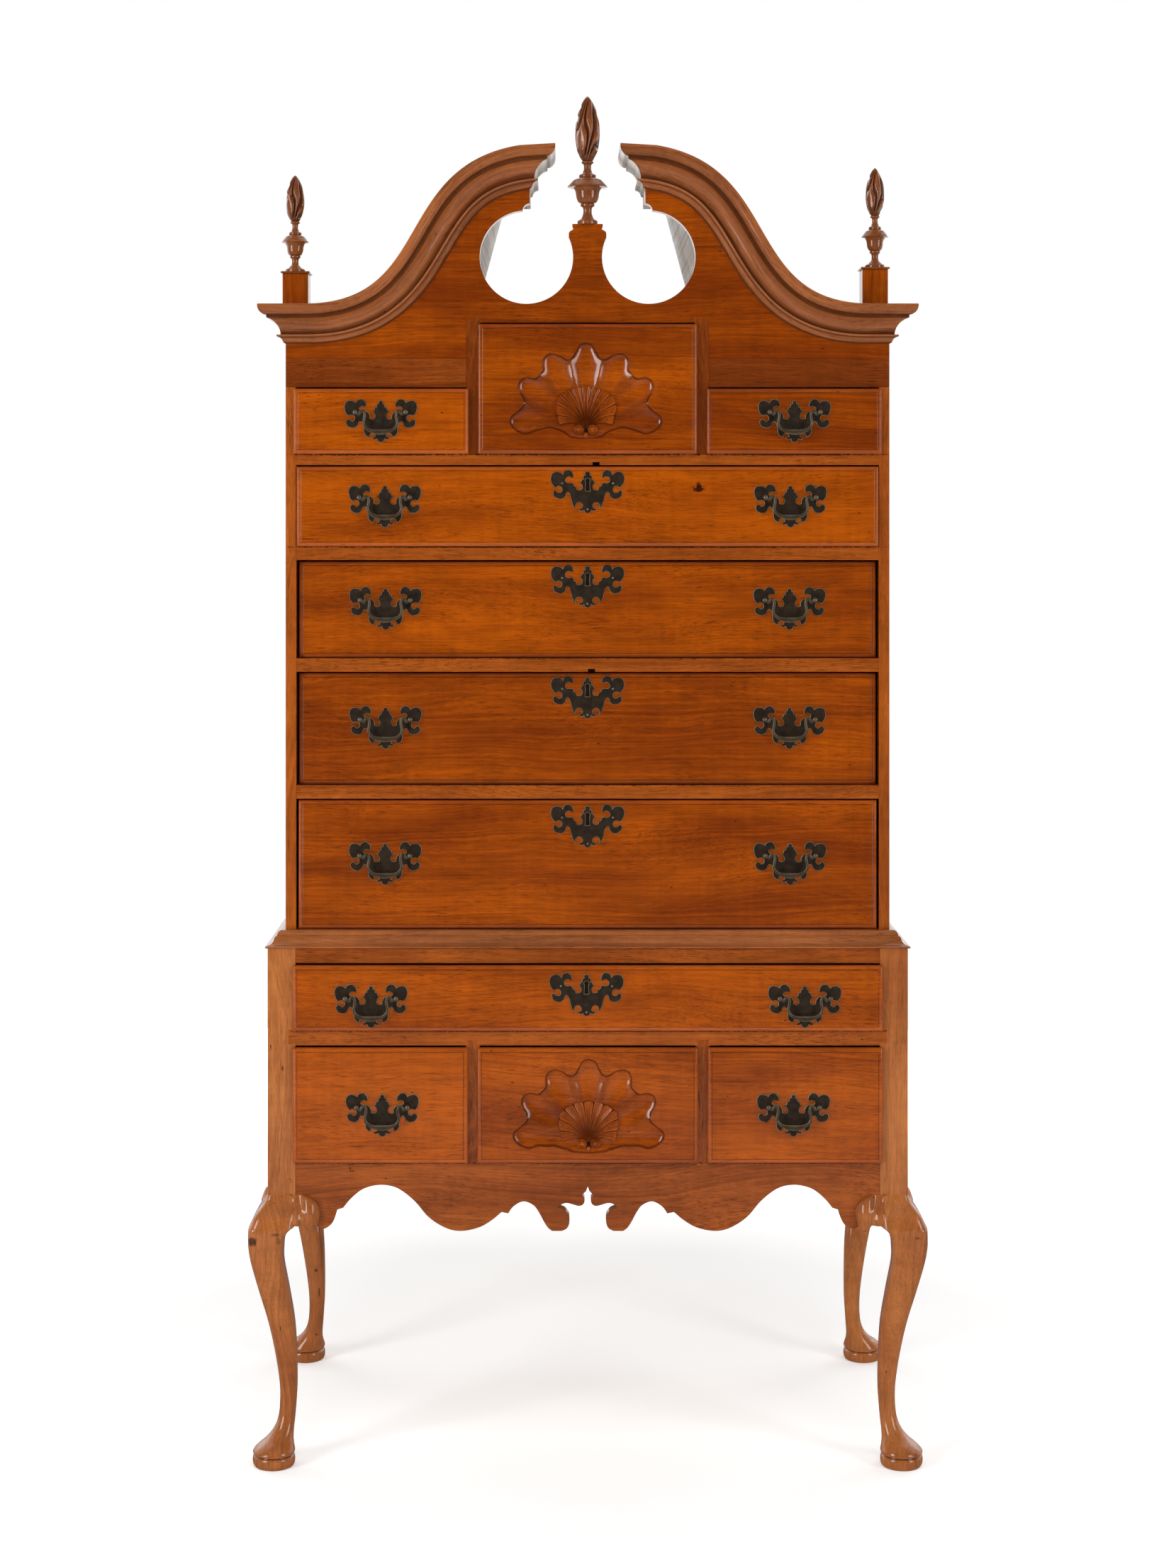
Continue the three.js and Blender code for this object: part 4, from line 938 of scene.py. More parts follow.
def build_backs():
    """Wide pine boards nailed across the backs of both cases"""
    low, high = node_box("lower_back")
    seam = low.z + (high.z - low.z) * LOWER_BACK_SEAM
    board("lower_back_board_low", low, (high.x, high.y, seam), stands_for=("lower_back",))
    board("lower_back_board_high", (low.x, low.y, seam + BACK_BOARD_GAP), high)
    low, high = node_box("upper_back")
    seams = [low.z, *(low.z + (high.z - low.z) * share for share in UPPER_BACK_SEAMS), high.z]
    for i, (start, end) in enumerate(zip(seams, seams[1:])):
        board(f"upper_back_board_{i + 1}", (low.x, low.y, start + BACK_BOARD_GAP * (i > 0)),
              (high.x, high.y, end), stands_for=("upper_back",) if i == 0 else ())


# How far the tenons of the muntins and of the middle rail run past their shoulders, and how far
# the bearers reach under a drawer on each side of a muntin and beside a post
MUNTIN_TAIL = 9
RAIL_TAIL = 11
MIDDLE_BEARER_REACH = 10
OUTER_BEARER_REACH = 20


def build_lower_rails():
    """Rails, muntins and the boards that carry the lower drawers"""
    front = LOWER_FRONT
    behind = front + FRONT_BOARD
    rear = LOWER_BACK_FACE
    end = POST_INNER
    bottom, top = MIDDLE_RAIL_BOTTOM, MIDDLE_RAIL_TOP
    board("top_rail", (-end, front, TOP_RAIL_BOTTOM), (end, front + RAIL_DEPTH, LOWER_TOP),
          "case_wood", stands_for=("lower_frame",))
    tail = end + RAIL_TAIL
    outline = both_halves([
        (0, top), (-end, top), (-end, top - 4), (-tail, top - 1.5), (-tail, bottom + 1.5),
        (-end, bottom + 4), (-end, bottom), (0, bottom)])
    sawn_board("middle_rail", outline, front_face(front - 0.08), FRONT_BOARD, 0.35, "case_wood",
               sharp=25, tone=0.25)
    board("middle_dust_board", (-end, behind - 1, top - PANEL_THICK), (end, rear, top - 0.3))
    board("lower_rear_rail", (-end, BACK - POST - 24, TOP_RAIL_BOTTOM), (end, BACK - POST, LOWER_TOP))
    inner, outer = DIVIDER_START, DIVIDER_END
    low, high = APRON_TOP - MUNTIN_TAIL, bottom + MUNTIN_TAIL
    muntin = (
        (inner, APRON_TOP), (inner + 3.5, APRON_TOP), (inner + 1.5, low), (outer - 1.5, low),
        (outer - 3.5, APRON_TOP), (outer, APRON_TOP), (outer, bottom), (outer - 3.5, bottom),
        (outer - 1, high), (inner + 1, high), (inner + 3.5, bottom), (inner, bottom))
    under = APRON_TOP - BEARER_THICK
    for side, sign in SIDES:
        sawn_board(f"lower_muntin_{side}", [(sign * u, v) for u, v in muntin],
                   front_face(front - 0.14), FRONT_BOARD, 0.35, "case_wood", "z", sharp=25)
        side_board(f"lower_partition_{side}", sign, (inner + PARTITION_IN, outer - PARTITION_IN),
                   (behind, APRON_TOP), (rear, bottom))
        for part, span in (
            ("middle", (inner - MIDDLE_BEARER_REACH, outer + MIDDLE_BEARER_REACH)),
            ("outer", (end - OUTER_BEARER_REACH, end)),
        ):
            side_board(f"lower_{part}_bearer_{side}", sign, span, (behind, under), (rear, APRON_TOP))
        for part, low_z, high_z in (
            ("guide", under, MIDDLE_RAIL_TOP), ("kicker", TOP_RAIL_BOTTOM, LOWER_TOP),
        ):
            side_board(f"lower_{part}_{side}", sign, (end + 0.2, LOWER_INNER),
                       (front + POST, low_z), (BACK - POST, high_z))


def waist_profile():
    """The moulding under the upper case: how far out from the upper case, and how high"""
    ledge = UPPER_SETBACK
    height = UPPER_FLOOR - LOWER_TOP
    start = (ledge + 1, 0)
    nose = [start, *bezier(start, (ledge + 4.4, 1), (ledge + 3.6, 3), (ledge + 1, 3.7), 6)]
    cove = bezier(
        nose[-1], (ledge - 6, 4.6), (ledge - 9, 9), (ledge - 9.5, height * 0.58), 10)
    fillet = [
        (ledge - 10.4, height * 0.585), (ledge - 10.6, height * 0.66), (ledge - 13, height * 0.665)]
    hollow = bezier(
        fillet[-1], (ledge - 13.6, height * 0.84), (ledge - 15.5, height * 0.985),
        (ledge - 19.5, height), 8)
    return [(0, 0), *nose, *cove, *fillet, *hollow, (0, height)]


def mitred_run(name, grain, profile, start, end, stands_for=()):
    """A length of moulding between two functions that place a profile's point"""
    timber = Timber(grain)
    timber.loft([[place(out, up) for out, up in profile] for place in (start, end)])
    make_piece(name, timber, "moulding_wood", stands_for=stands_for, sharp=30, tone=0.35)


def build_waist_moulding():
    profile = waist_profile()

    def corner(side):
        return lambda out, up: (side * (UPPER_HALF + out), UPPER_FRONT - out, LOWER_TOP + up)

    def rear(side):
        return lambda out, up: (side * (UPPER_HALF + out), BACK, LOWER_TOP + up)

    mitred_run("waist_moulding_front", "x", profile, corner(-1), corner(1), ("waist_moulding",))
    for side, sign in SIDES:
        mitred_run(f"waist_moulding_{side}", "y", profile, corner(sign), rear(sign))


# Upper case

# The notches in two of the blades that the locks' bolts shoot into, each by its middle
NOTCH_WIDE = 10.7
NOTCH_HIGH = 4.5
NOTCH_IN = 7
NOTCHES = {"long_4": 13, "long_2": 6}

# How far a divider's head runs up into the scroll board
HEAD_RISE = 3.5


def notch_span(notch):
    return notch - NOTCH_WIDE / 2, notch + NOTCH_WIDE / 2


def blade_outline(bottom, top, notch):
    """A drawer blade's front edge, with the notch that the lock's bolt shoots into"""
    half = UPPER_INNER
    outline = [(-half, top), (-half, bottom)]
    if notch is not None:
        near, far = notch_span(notch)
        high = bottom + NOTCH_HIGH
        outline += [(near, bottom), (near, high), (far, high), (far, bottom)]
    return [*outline, (half, bottom), (half, top)]


def build_blades():
    """The upper case's floor and the rails between the long drawers, each with its dust board"""
    front = UPPER_FRONT
    behind = front + FRONT_BOARD
    levels = [("upper_floor", LOWER_TOP, UPPER_FLOOR, None)]
    for name, above in zip(LONG, (*LONG[1:], "top_left")):
        levels.append((
            f"blade_over_{name}", opening_of(name)[3], opening_of(above)[2], NOTCHES.get(name)))
    for i, (name, bottom, top, notch) in enumerate(levels):
        blade = Timber("x")
        blade.sawn(blade_outline(bottom, top, notch), front_face(front), FRONT_BOARD, 0.5)
        blade.block((-UPPER_INNER, behind - 1, bottom + 0.2),
                    (UPPER_INNER, front + RAIL_DEPTH, top - 0.2))
        make_piece(f"{name}_rail", blade, "case_wood", stands_for=("upper_frame",) if i == 0 else (),
                   tone=0.2)
        board(f"{name}_dust_board", (-UPPER_INNER, front + RAIL_DEPTH - 1, top - PANEL_THICK),
              (UPPER_INNER, UPPER_BACK_FACE, top - 0.4))
        if notch is not None:
            near, far = notch_span(notch)
            # A near-black block of painted shade at the back of the notch
            board(f"{name}_notch", (near, front + NOTCH_IN, bottom),
                  (far, behind + 2, bottom + NOTCH_HIGH), "hollow_shadow")


def build_dividers():
    """The two uprights beside the shell drawer, whose heads are dovetailed into the scroll board"""
    front = UPPER_FRONT
    behind = front + FRONT_BOARD
    rear = UPPER_BACK_FACE
    bottom = opening_of("top_shell")[2]
    inner, outer = DIVIDER_START, DIVIDER_END
    head = SHELL_TOP + HEAD_RISE
    upright = (
        (inner, bottom - 5), (outer, bottom - 5), (outer, SHELL_TOP - 4), (outer + 0.6, head + 1.2),
        (inner - 0.6, head + 4.5), (inner, SHELL_TOP - 4))
    for side, sign in SIDES:
        sawn_board(f"upper_divider_{side}", [(sign * u, v) for u, v in upright],
                   front_face(front - 0.1), FRONT_BOARD, 0.35, "case_wood", "z", sharp=25, tone=-0.3)
        side_board(f"upper_partition_{side}", sign, (inner + PARTITION_IN, outer - PARTITION_IN),
                   (behind - 1, bottom), (rear, SHELL_TOP + 3))
        side_board(f"frieze_rail_{side}", sign, (outer, UPPER_HALF), (front, SMALL_TOP),
                   (behind, FRIEZE_TOP), "case_wood", "x", tone=-0.45)
        side_board(f"upper_rear_post_{side}", sign, (UPPER_INNER - REAR_POST, UPPER_INNER),
                   (rear - REAR_POST, LOWER_TOP), (rear, UPPER_SIDE_TOP), grain="z")


def build_upper_sides():
    front = UPPER_FRONT
    outline = [
        (front, LOWER_TOP), (BACK, LOWER_TOP), (BACK, UPPER_SIDE_TOP),
        (front + FRONT_BOARD, UPPER_SIDE_TOP), (front + FRONT_BOARD, SMALL_TOP), (front, SMALL_TOP)]
    for side, sign in SIDES:
        sawn_board(f"upper_side_board_{side}", outline, side_face(sign * UPPER_HALF, -sign),
                   UPPER_HALF - UPPER_INNER, 0.6, "case_wood", "z",
                   stands_for=(f"upper_side_{side}",), tone=0.25)


# Pediment

# The gap between the scrolls: half its width, the bite at its foot, and the short boards that
# return into it
GAP_HALF = 87.7
GAP_BITE = 10.7
GAP_RETURN_DEPTH = 105
GAP_RETURN_UP = 15

# Where the scroll leaves the level, and its curve's two handles as shares of its span
SCROLL_START_IN = 33
SCROLL_LOW_HANDLE = 0.56
SCROLL_HIGH_HANDLE = 0.69
SCROLL_STEPS = 90

# The round openings and the plinth between them, with half widths
HOLE_RADIUS = 70.9
HOLE_WEB = 28.8
PLINTH_NECK = 21.9
PLINTH_SHOULDER = 28.5
PLINTH_CAP = 23
PLINTH_CAP_HEIGHT = 4.5
HOLE_X = -(PLINTH_NECK + HOLE_RADIUS)
HOLE_Z = SHELL_TOP + HOLE_WEB + HOLE_RADIUS

# The cornice grows as it climbs the scroll
CORNICE_HEIGHT = CORNICE_TOP - CORNICE_LOW.z
CORNICE_GROWTH = 64 / 58 - 1
GAP_LEVEL = CORNICE_HIGH.z
SCROLL_TOP = GAP_LEVEL + 1

# The hollow bonnet behind the scrolls
BONNET_THICK = 9
BONNET_UNDER_EDGE = 2
BONNET_APEX = -GAP_HALF - 43.3
BONNET_LEAN = 62


def scroll_stations():
    """The left scroll's top edge outside the gap: its place, and the unit vector down across it"""
    start = (-UPPER_HALF + SCROLL_START_IN, CORNICE_TOP)
    end = (-(GAP_HALF - CORNICE_OUT), SCROLL_TOP)
    span = end[0] - start[0]
    curve = [start, *bezier(
        start, (start[0] + SCROLL_LOW_HANDLE * span, start[1]),
        (end[0] - SCROLL_HIGH_HANDLE * span, end[1]), end, SCROLL_STEPS)]
    stations = []
    for k, (u, v) in enumerate(curve[:-1]):
        if u < -GAP_HALF - 12:
            before, after = curve[max(k - 1, 0)], curve[k + 1]
            along = unit(after[0] - before[0], after[1] - before[1])
            stations.append((k / SCROLL_STEPS, (u, v), (along[1], -along[0])))
    return stations


def scroll_board_outline():
    plinth_top = CENTRE_FINIAL_LOW.z
    shoulder = math.degrees(math.acos((-PLINTH_SHOULDER - HOLE_X) / HOLE_RADIUS))
    bite = math.acos((-GAP_HALF - GAP_BITE - HOLE_X) / HOLE_RADIUS)
    bite_z = HOLE_Z + HOLE_RADIUS * math.sin(bite)
    neck = (-PLINTH_CAP + 1.5, plinth_top - PLINTH_CAP_HEIGHT - 3.5)
    turn = (-PLINTH_SHOULDER, plinth_top - 12)
    stations = scroll_stations()
    left = [
        (-PLINTH_CAP, plinth_top), (-PLINTH_CAP, plinth_top - PLINTH_CAP_HEIGHT), neck,
        *bezier(neck, turn, turn, (-PLINTH_SHOULDER, plinth_top - 17), 8),
        *arc((HOLE_X, HOLE_Z), HOLE_RADIUS, shoulder, math.degrees(bite) - 360, 72),
        *arc((-GAP_HALF, bite_z), GAP_BITE, 180, 90, 8),
        (-GAP_HALF, stations[-1][1][1]),
        *((u, v - 0.4) for _, (u, v), _ in reversed(stations)),
        (-UPPER_HALF, CORNICE_TOP - 0.4), (-UPPER_HALF, FRIEZE_TOP), (-DIVIDER_END, FRIEZE_TOP),
        (-DIVIDER_END, SHELL_TOP), (-DIVIDER_START, SHELL_TOP), (0, SHELL_TOP)]
    return both_halves(left)


def build_scroll_board():
    sawn_board("scroll_plank", scroll_board_outline(), front_face(UPPER_FRONT), FRONT_BOARD, 0.5,
               "front_wood", stands_for=("scroll_board",), tone=-0.3)


def cornice_profile():
    """The cornice's section: how far out and how far down"""
    out = CORNICE_OUT
    height = CORNICE_HEIGHT
    crown = [(0, 0), (out - 0.8, 0), (out, 0.8), (out, 3), *bezier(
        (out, 3), (out - 0.4, 9.5), (out - 4.5, 14.6), (out - 10.6, 15.8), 12)]
    fillet = [(out - 12.3, 16), (out - 12.5, 20)]
    cove = bezier((out - 12.9, 20.3), (out - 22, 22), (7.8, 31), (6.9, 43.6), 22)
    bead = [(7.4, 44.6), *bezier((11.2, 44.4), (13.2, 44.6), (13.2, 47.8), (11, 48), 6)]
    tail = bezier((9.2, 48.4), (6, 49.5), (4.4, 52), (3.4, height - 2), 8)
    return [*crown, *fillet, (out - 12.9, 20.3), *cove, *bead, (9.2, 48.4), *tail, (0, height)]


def cornice_light_and_shade(down):
    """Painted shade in the cornice's hollows and painted highlights on its top edge and bead, by the
    distance below its top edge
    """
    if 14.8 < down < 20.6:
        return -0.7
    if down < 14.8:
        return 0.1 if down < 1 else 0.0
    if down < 44:
        return -0.8 * smooth(33, 43.8, down)
    if down < 48.1:
        return 0.3 if down < 47 else -0.3
    return -0.75 if down < 49.2 or down > CORNICE_HEIGHT - 3 else -0.1


def cornice_rings():
    """The left cornice's rings: along the side, round the corner, up the scroll and into the gap"""
    profile = cornice_profile()
    x = UPPER_HALF

    def corner(y_of):
        return [(-x - out, y_of(out), CORNICE_TOP - down) for out, down in profile]

    def gap(y_of):
        grown = 1 + CORNICE_GROWTH
        return [(-GAP_HALF + out, y_of(out), GAP_LEVEL - down * grown) for out, down in profile]

    side = [corner(lambda out: BACK), corner(lambda out: UPPER_FRONT - out)]
    scroll = [side[1]]
    for share, (u, v), down_way in scroll_stations():
        grown = 1 + CORNICE_GROWTH * share
        scroll.append([
            (u + down_way[0] * down * grown, UPPER_FRONT - out, v + down_way[1] * down * grown)
            for out, down in profile])
    scroll.append(gap(lambda out: UPPER_FRONT - out))
    into_gap = [scroll[-1], gap(lambda out: UPPER_FRONT + GAP_RETURN_DEPTH)]
    return side, scroll, into_gap


def mirror(rings, sign):
    """Rings drawn for the left, on the side of that sign"""
    return [[(-sign * x, y, z) for x, y, z in ring] for ring in rings]


def running_length(points):
    """How far along a row each of its points lies"""
    steps = (math.dist(before, after) for before, after in zip(points, points[1:]))
    return [0.0, *itertools.accumulate(steps)]


def build_cornices():
    profile = cornice_profile()
    across = running_length(profile)
    middle = (len(profile) - 1) // 2
    for name, sign in SIDES:
        for part, rings in zip(("side", "scroll", "gap"), cornice_rings()):
            rings = mirror(rings, sign)
            along = running_length([ring[middle] for ring in rings])
            timber = Timber()
            # The returns in the gap are near white with painted reflection of the backdrop, and take
            # less of the painted shade and highlights
            painted_shading = 0.3 if part == "gap" else 1.0
            timber.loft(rings, fibre=lambda i, j: (along[i], across[j] + 90.0, 0.0),
                        shade=lambda i, j: painted_shading * cornice_light_and_shade(profile[j][1]))
            make_piece(f"cornice_{part}_{name}", timber,
                       "bonnet_wood" if part == "gap" else "moulding_wood",
                       stands_for=(f"cornice_{name}",) if part == "scroll" else (), sharp=28, tone=0.05)
        # The boards that return into the gap are near white with painted reflection of the backdrop
        hole_top = HOLE_Z + HOLE_RADIUS + GAP_RETURN_UP
        side_board(f"gap_return_{name}", sign, (GAP_HALF + PANEL_THICK, GAP_HALF - 0.2),
                   (UPPER_FRONT + FRONT_BOARD, hole_top),
                   (UPPER_FRONT + GAP_RETURN_DEPTH, GAP_LEVEL - 6), "bonnet_wood")


def bonnet_outlines():
    """The left bonnet's roof and leaning wall, as seen from the front"""
    in_board = CORNICE_TOP - 1
    stations = [s for s in scroll_stations() if s[1][0] < BONNET_APEX]

    def sunk(depth):
        return [(u + du * depth, v + dv * depth) for _, (u, v), (du, dv) in stations]

    roof = sunk(BONNET_UNDER_EDGE)
    ceiling = [p for p in sunk(BONNET_UNDER_EDGE + BONNET_THICK) if p[1] > CORNICE_TOP]
    apex = roof[-1][1]
    lean = BONNET_LEAN / (apex - in_board)

    def wall(z):
        return BONNET_APEX - lean * (apex - z)

    ceiling = [p for p in ceiling if p[0] < wall(p[1]) - BONNET_THICK]
    shell = [*roof, (BONNET_APEX, apex), (BONNET_APEX - 1, ceiling[-1][1]), *reversed(ceiling)]
    shell += [(-UPPER_HALF + 4, in_board), (-UPPER_HALF + 0.5, CORNICE_TOP - BONNET_UNDER_EDGE)]
    top = ceiling[-1][1]
    leaning = [(wall(in_board), in_board), (wall(top), top), (wall(top) - BONNET_THICK, top),
               (wall(in_board) - BONNET_THICK, in_board)]
    gable = [(-UPPER_HALF + 1, in_board), *sunk(BONNET_UNDER_EDGE + 1), (BONNET_APEX - 1, apex - 2),
             (wall(in_board) - 1, in_board)]
    return shell, leaning, gable


def build_bonnet():
    front = UPPER_FRONT + FRONT_BOARD
    depth = BACK - front
    board("upper_top_board", (-UPPER_HALF, front, UPPER_SIDE_TOP), (UPPER_HALF, BACK, CORNICE_TOP),
          stands_for=("upper_top",))
    shell, leaning, gable = bonnet_outlines()
    # The leaning walls take the near-white bonnet wood, with its painted reflection of the backdrop
    for name, sign in SIDES:
        for part, outline, start, thickness, finish, grain in (
            ("roof", shell, front, depth - 1.5, "inner_wood", "y"),
            ("wall", leaning, front, depth - 1, "bonnet_wood", "y"),
            ("back", gable, BACK - PANEL_THICK, PANEL_THICK, "inner_wood", "x"),
        ):
            sawn_board(f"bonnet_{part}_{name}", [(-sign * u, v) for u, v in outline],
                       front_face(start), thickness, 0.5, finish, grain)


# Finials

# The side finials' plinth blocks and their caps
PLINTH_WIDTH = 39
PLINTH_CAP_WIDTH = 44
PLINTH_CAP_THICK = 3
PLINTH_IN = 15
PLINTH_Y = UPPER_FRONT + FRONT_BOARD + PLINTH_CAP_WIDTH / 2
TURNED_SIDES = 64
FLAME_SIDES = 144

# The flame's outline: share of its height, and half its width as a share of the widest
FLAME_OUTLINE = [
    (0, 0.4), (0.03, 0.52), (0.08, 0.66), (0.16, 0.84), (0.25, 0.93), (0.34, 0.99), (0.46, 1),
    (0.58, 0.97), (0.68, 0.88), (0.79, 0.71), (0.89, 0.47), (0.96, 0.25), (1, 0.04),
]


# The turned part's outline, from the foot up: shares of its height, and of each member's
# widest radius
URN_OUTLINE = {
    "foot": [
        (0, 0.97), (0.006, 1), (0.045, 1), (0.06, 0.96), (0.068, 0.88), (0.074, 0.72), (0.082, 0.7),
        (0.108, 0.57)],
    "neck": [(0.143, 1.18), (0.17, 1.06), (0.208, 1), (0.24, 1.03), (0.265, 1.12)],
    "collar": [(0.28, 0.84), (0.284, 0.94), (0.292, 1), (0.324, 1), (0.331, 0.93), (0.335, 0.86)],
    "cup": [
        (0.337, 0.58), (0.344, 0.62), (0.358, 0.68), (0.378, 0.73), (0.405, 0.78), (0.44, 0.82),
        (0.48, 0.84), (0.515, 0.87), (0.54, 0.91), (0.56, 0.97), (0.574, 1.02), (0.58, 1.05)],
    "brim": [
        (0.583, 0.9), (0.588, 0.985), (0.592, 1), (0.599, 0.995), (0.608, 0.97), (0.622, 0.93),
        (0.645, 0.86), (0.668, 0.8), (0.674, 0.77), (0.676, 0.735), (0.682, 0.735), (0.69, 0.73),
        (0.703, 0.68), (0.715, 0.6), (0.726, 0.51), (0.735, 0.44)],
    "ring": [
        (0.738, 0.95), (0.744, 0.99), (0.752, 1), (0.77, 1), (0.781, 0.97), (0.788, 0.9),
        (0.792, 0.76), (0.8, 0.66), (0.812, 0.6)],
    "throat": [
        (0.83, 1.26), (0.855, 1.07), (0.885, 1), (0.92, 1), (0.942, 1.06), (0.955, 1.26),
        (0.96, 1.44), (0.966, 1.6), (0.974, 1.67), (0.986, 1.66), (0.993, 1.58), (0.998, 1.4),
        (1, 0.9)],
}


def urn_profile(height, radii):
    """A finial's turned part from its widest radii, as pairs of radius and height"""
    return [
        (width * radii[member], share * height)
        for member, rows in URN_OUTLINE.items() for share, width in rows]


def flame(timber, centre, foot, height, half_width, flutes, turn, depth):
    """A carved flame whose ridges wander as they climb"""
    outline = spline(FLAME_OUTLINE, 6)
    count = len(outline) - 1
    rings = []
    valleys = []
    for share, width in outline:
        radius = width * half_width
        fade = smooth(0, 0.16, share) * (1 - 0.75 * smooth(0.86, 1, share))
        ring = []
        valley = []
        for i in range(FLAME_SIDES):
            angle = 2 * math.pi * i / FLAME_SIDES
            sway = 0.34 * math.sin(2 * math.pi * 1.15 * share + 1.5 * math.sin(2 * angle + 0.6))
            climb = angle - turn * share - sway - 0.22 * math.sin(3 * angle + 4 * share)
            ridge = abs(math.cos(flutes * climb / 2)) ** 0.8
            cut = depth * fade * (1 - ridge)
            r = radius * (1 - cut)
            ring.append((
                centre[0] + r * math.cos(angle), centre[1] + r * math.sin(angle),
                centre[2] + foot + share * height))
            # Painted shade in the flame's grooves and low on the flame
            valley.append(-min(0.75, 1.1 * (1 - ridge) * fade + 0.45 * (1 - smooth(0, 0.3, share))))
        rings.append(ring)
        valleys.append(valley)
    timber.loft(rings, shade=lambda i, j: valleys[min(i, count)][j])


# The centre finial and those at the sides: sizes of each in millimetres
FINIALS = {
    "centre": dict(
        total=194.9, flame=98.5, half_width=18.6, flutes=9, turn=1.5,
        foot=15.3, neck=6.3, collar=10.6, cup=21, brim=30.6, ring=12.9, throat=5.5),
    "side": dict(
        total=145.9, flame=69.5, half_width=14.2, flutes=7, turn=1.1,
        foot=15.2, neck=5.1, collar=8.1, cup=15.2, brim=20.7, ring=9.7, throat=4.4),
}


def finial(name, kind, foot, stands_for, depth, taller=1.0):
    """Turns an urn and carves the flame on it"""
    sizes = dict(FINIALS[kind])
    total = sizes.pop("total") * taller
    flame_height = sizes.pop("flame") * taller
    carving = {key: sizes.pop(key) for key in ("half_width", "flutes", "turn")}
    profile = urn_profile(total - flame_height, sizes)
    urn = Timber("z")
    urn.turned([(0.5, profile[0][1]), *profile, (0.5, profile[-1][1])], foot, TURNED_SIDES)
    make_piece(f"{name}_urn", urn, "turned_wood", stands_for=stands_for, sharp=50)
    tip = Timber("z")
    flame(tip, foot, total - flame_height, flame_height, depth=depth, **carving)
    piece = make_piece(f"{name}_flame", tip, "turned_wood", sharp=60)
    piece.modifiers.clear()


# Where each side finial stands: its plinth's shift and height, its own shift on the plinth, and
# how much taller it is than its drawing
SIDE_PLACES = {"left": (-2.7, 54.4, -2.2, 1.02), "right": (-3.8, 60.9, 2, 1.053)}


def build_finials(sizes):
    depth = sizes.flame_depth
    middle = (0, UPPER_FRONT + FRONT_BOARD / 2, CENTRE_FINIAL_LOW.z)
    finial("centre_finial", "centre", middle, ("finial_centre",), depth)
    half = PLINTH_WIDTH / 2
    cap = PLINTH_CAP_WIDTH / 2
    y = PLINTH_Y
    for side, sign in SIDES:
        aside, plinth_height, finial_aside, taller = SIDE_PLACES[side]
        x = sign * (UPPER_HALF - PLINTH_IN) + aside
        top = CORNICE_TOP + plinth_height
        board(f"plinth_block_{side}", (x - half, y - half, CORNICE_TOP),
              (x + half, y + half, top - PLINTH_CAP_THICK + 0.2), "front_wood", grain="z")
        board(f"plinth_cap_{side}", (x - cap, y - cap, top - PLINTH_CAP_THICK), (x + cap, y + cap, top),
              "turned_wood")
        finial(f"side_finial_{side}", "side", (x + finial_aside, y, top), (f"finial_{side}",), depth,
               taller)


# Drawers

FRONT_THICK = 20

# The drawer boxes: the walls, the room round them in their openings, and the dovetails
BOX_WALL = 11
BOX_FLOOR = 8
BOX_SIDE_PLAY = 2
BOX_HEAD_PLAY = 5
RUN_BESIDE_FRONT = 0.5
TAIL_LENGTH = 10.5
TAIL_PITCH = 46
BACK_DROP = 8

# How far the fronts' top edges have sunk
TOP_SAG = 1.2

# How each shell sits on its front: its foot's height, its shift sideways, its size along x and z
# against the drawing, and how far its foot's lobes hang down
SHELL_FOOT_UP = {"top_shell": 22, "bottom_shell": 14.8}
SHELL_ASIDE = {"top_shell": -2.5, "bottom_shell": 1.3}
SHELL_SCALE = {"top_shell": (1, 1), "bottom_shell": (0.986, 0.973)}
SHELL_DIP = {"top_shell": 2, "bottom_shell": 8}

# How much paler or deeper than its fellows each front is
FRONT_TONES = {
    "long_4": 0.28, "long_3": 0.14, "long_2": 0.0, "long_1": -0.06, "waist": 0.1,
    "bottom_left": 0.4, "bottom_right": 0.15, "bottom_shell": 0.0, "top_left": 0.28,
    "top_right": -0.35, "top_shell": -0.1,
}


def edge_rings(low, high, round_edge):
    """The rectangles of a drawer front from its face back, round a thumbnail edge"""
    steps = [(round_edge + 0.9, 0), (round_edge + 0.6, 0.12), (round_edge + 0.35, 0.75)]
    for k in range(9):
        t = math.radians(90 * k / 8)
        steps.append((round_edge * (1 - math.sin(t)), 0.75 + 0.68 * round_edge * (1 - math.cos(t))))
    steps += [(0, LIP_THICK - 0.4), (0.4, LIP_THICK)]
    rings = []
    for inset, back in steps:
        left, right = low.x + inset, high.x - inset
        bottom, top = low.z + inset, high.z - inset
        y = low.y + back
        rings.append([(left, y, bottom), (right, y, bottom), (right, y, top), (left, y, top)])
    return rings


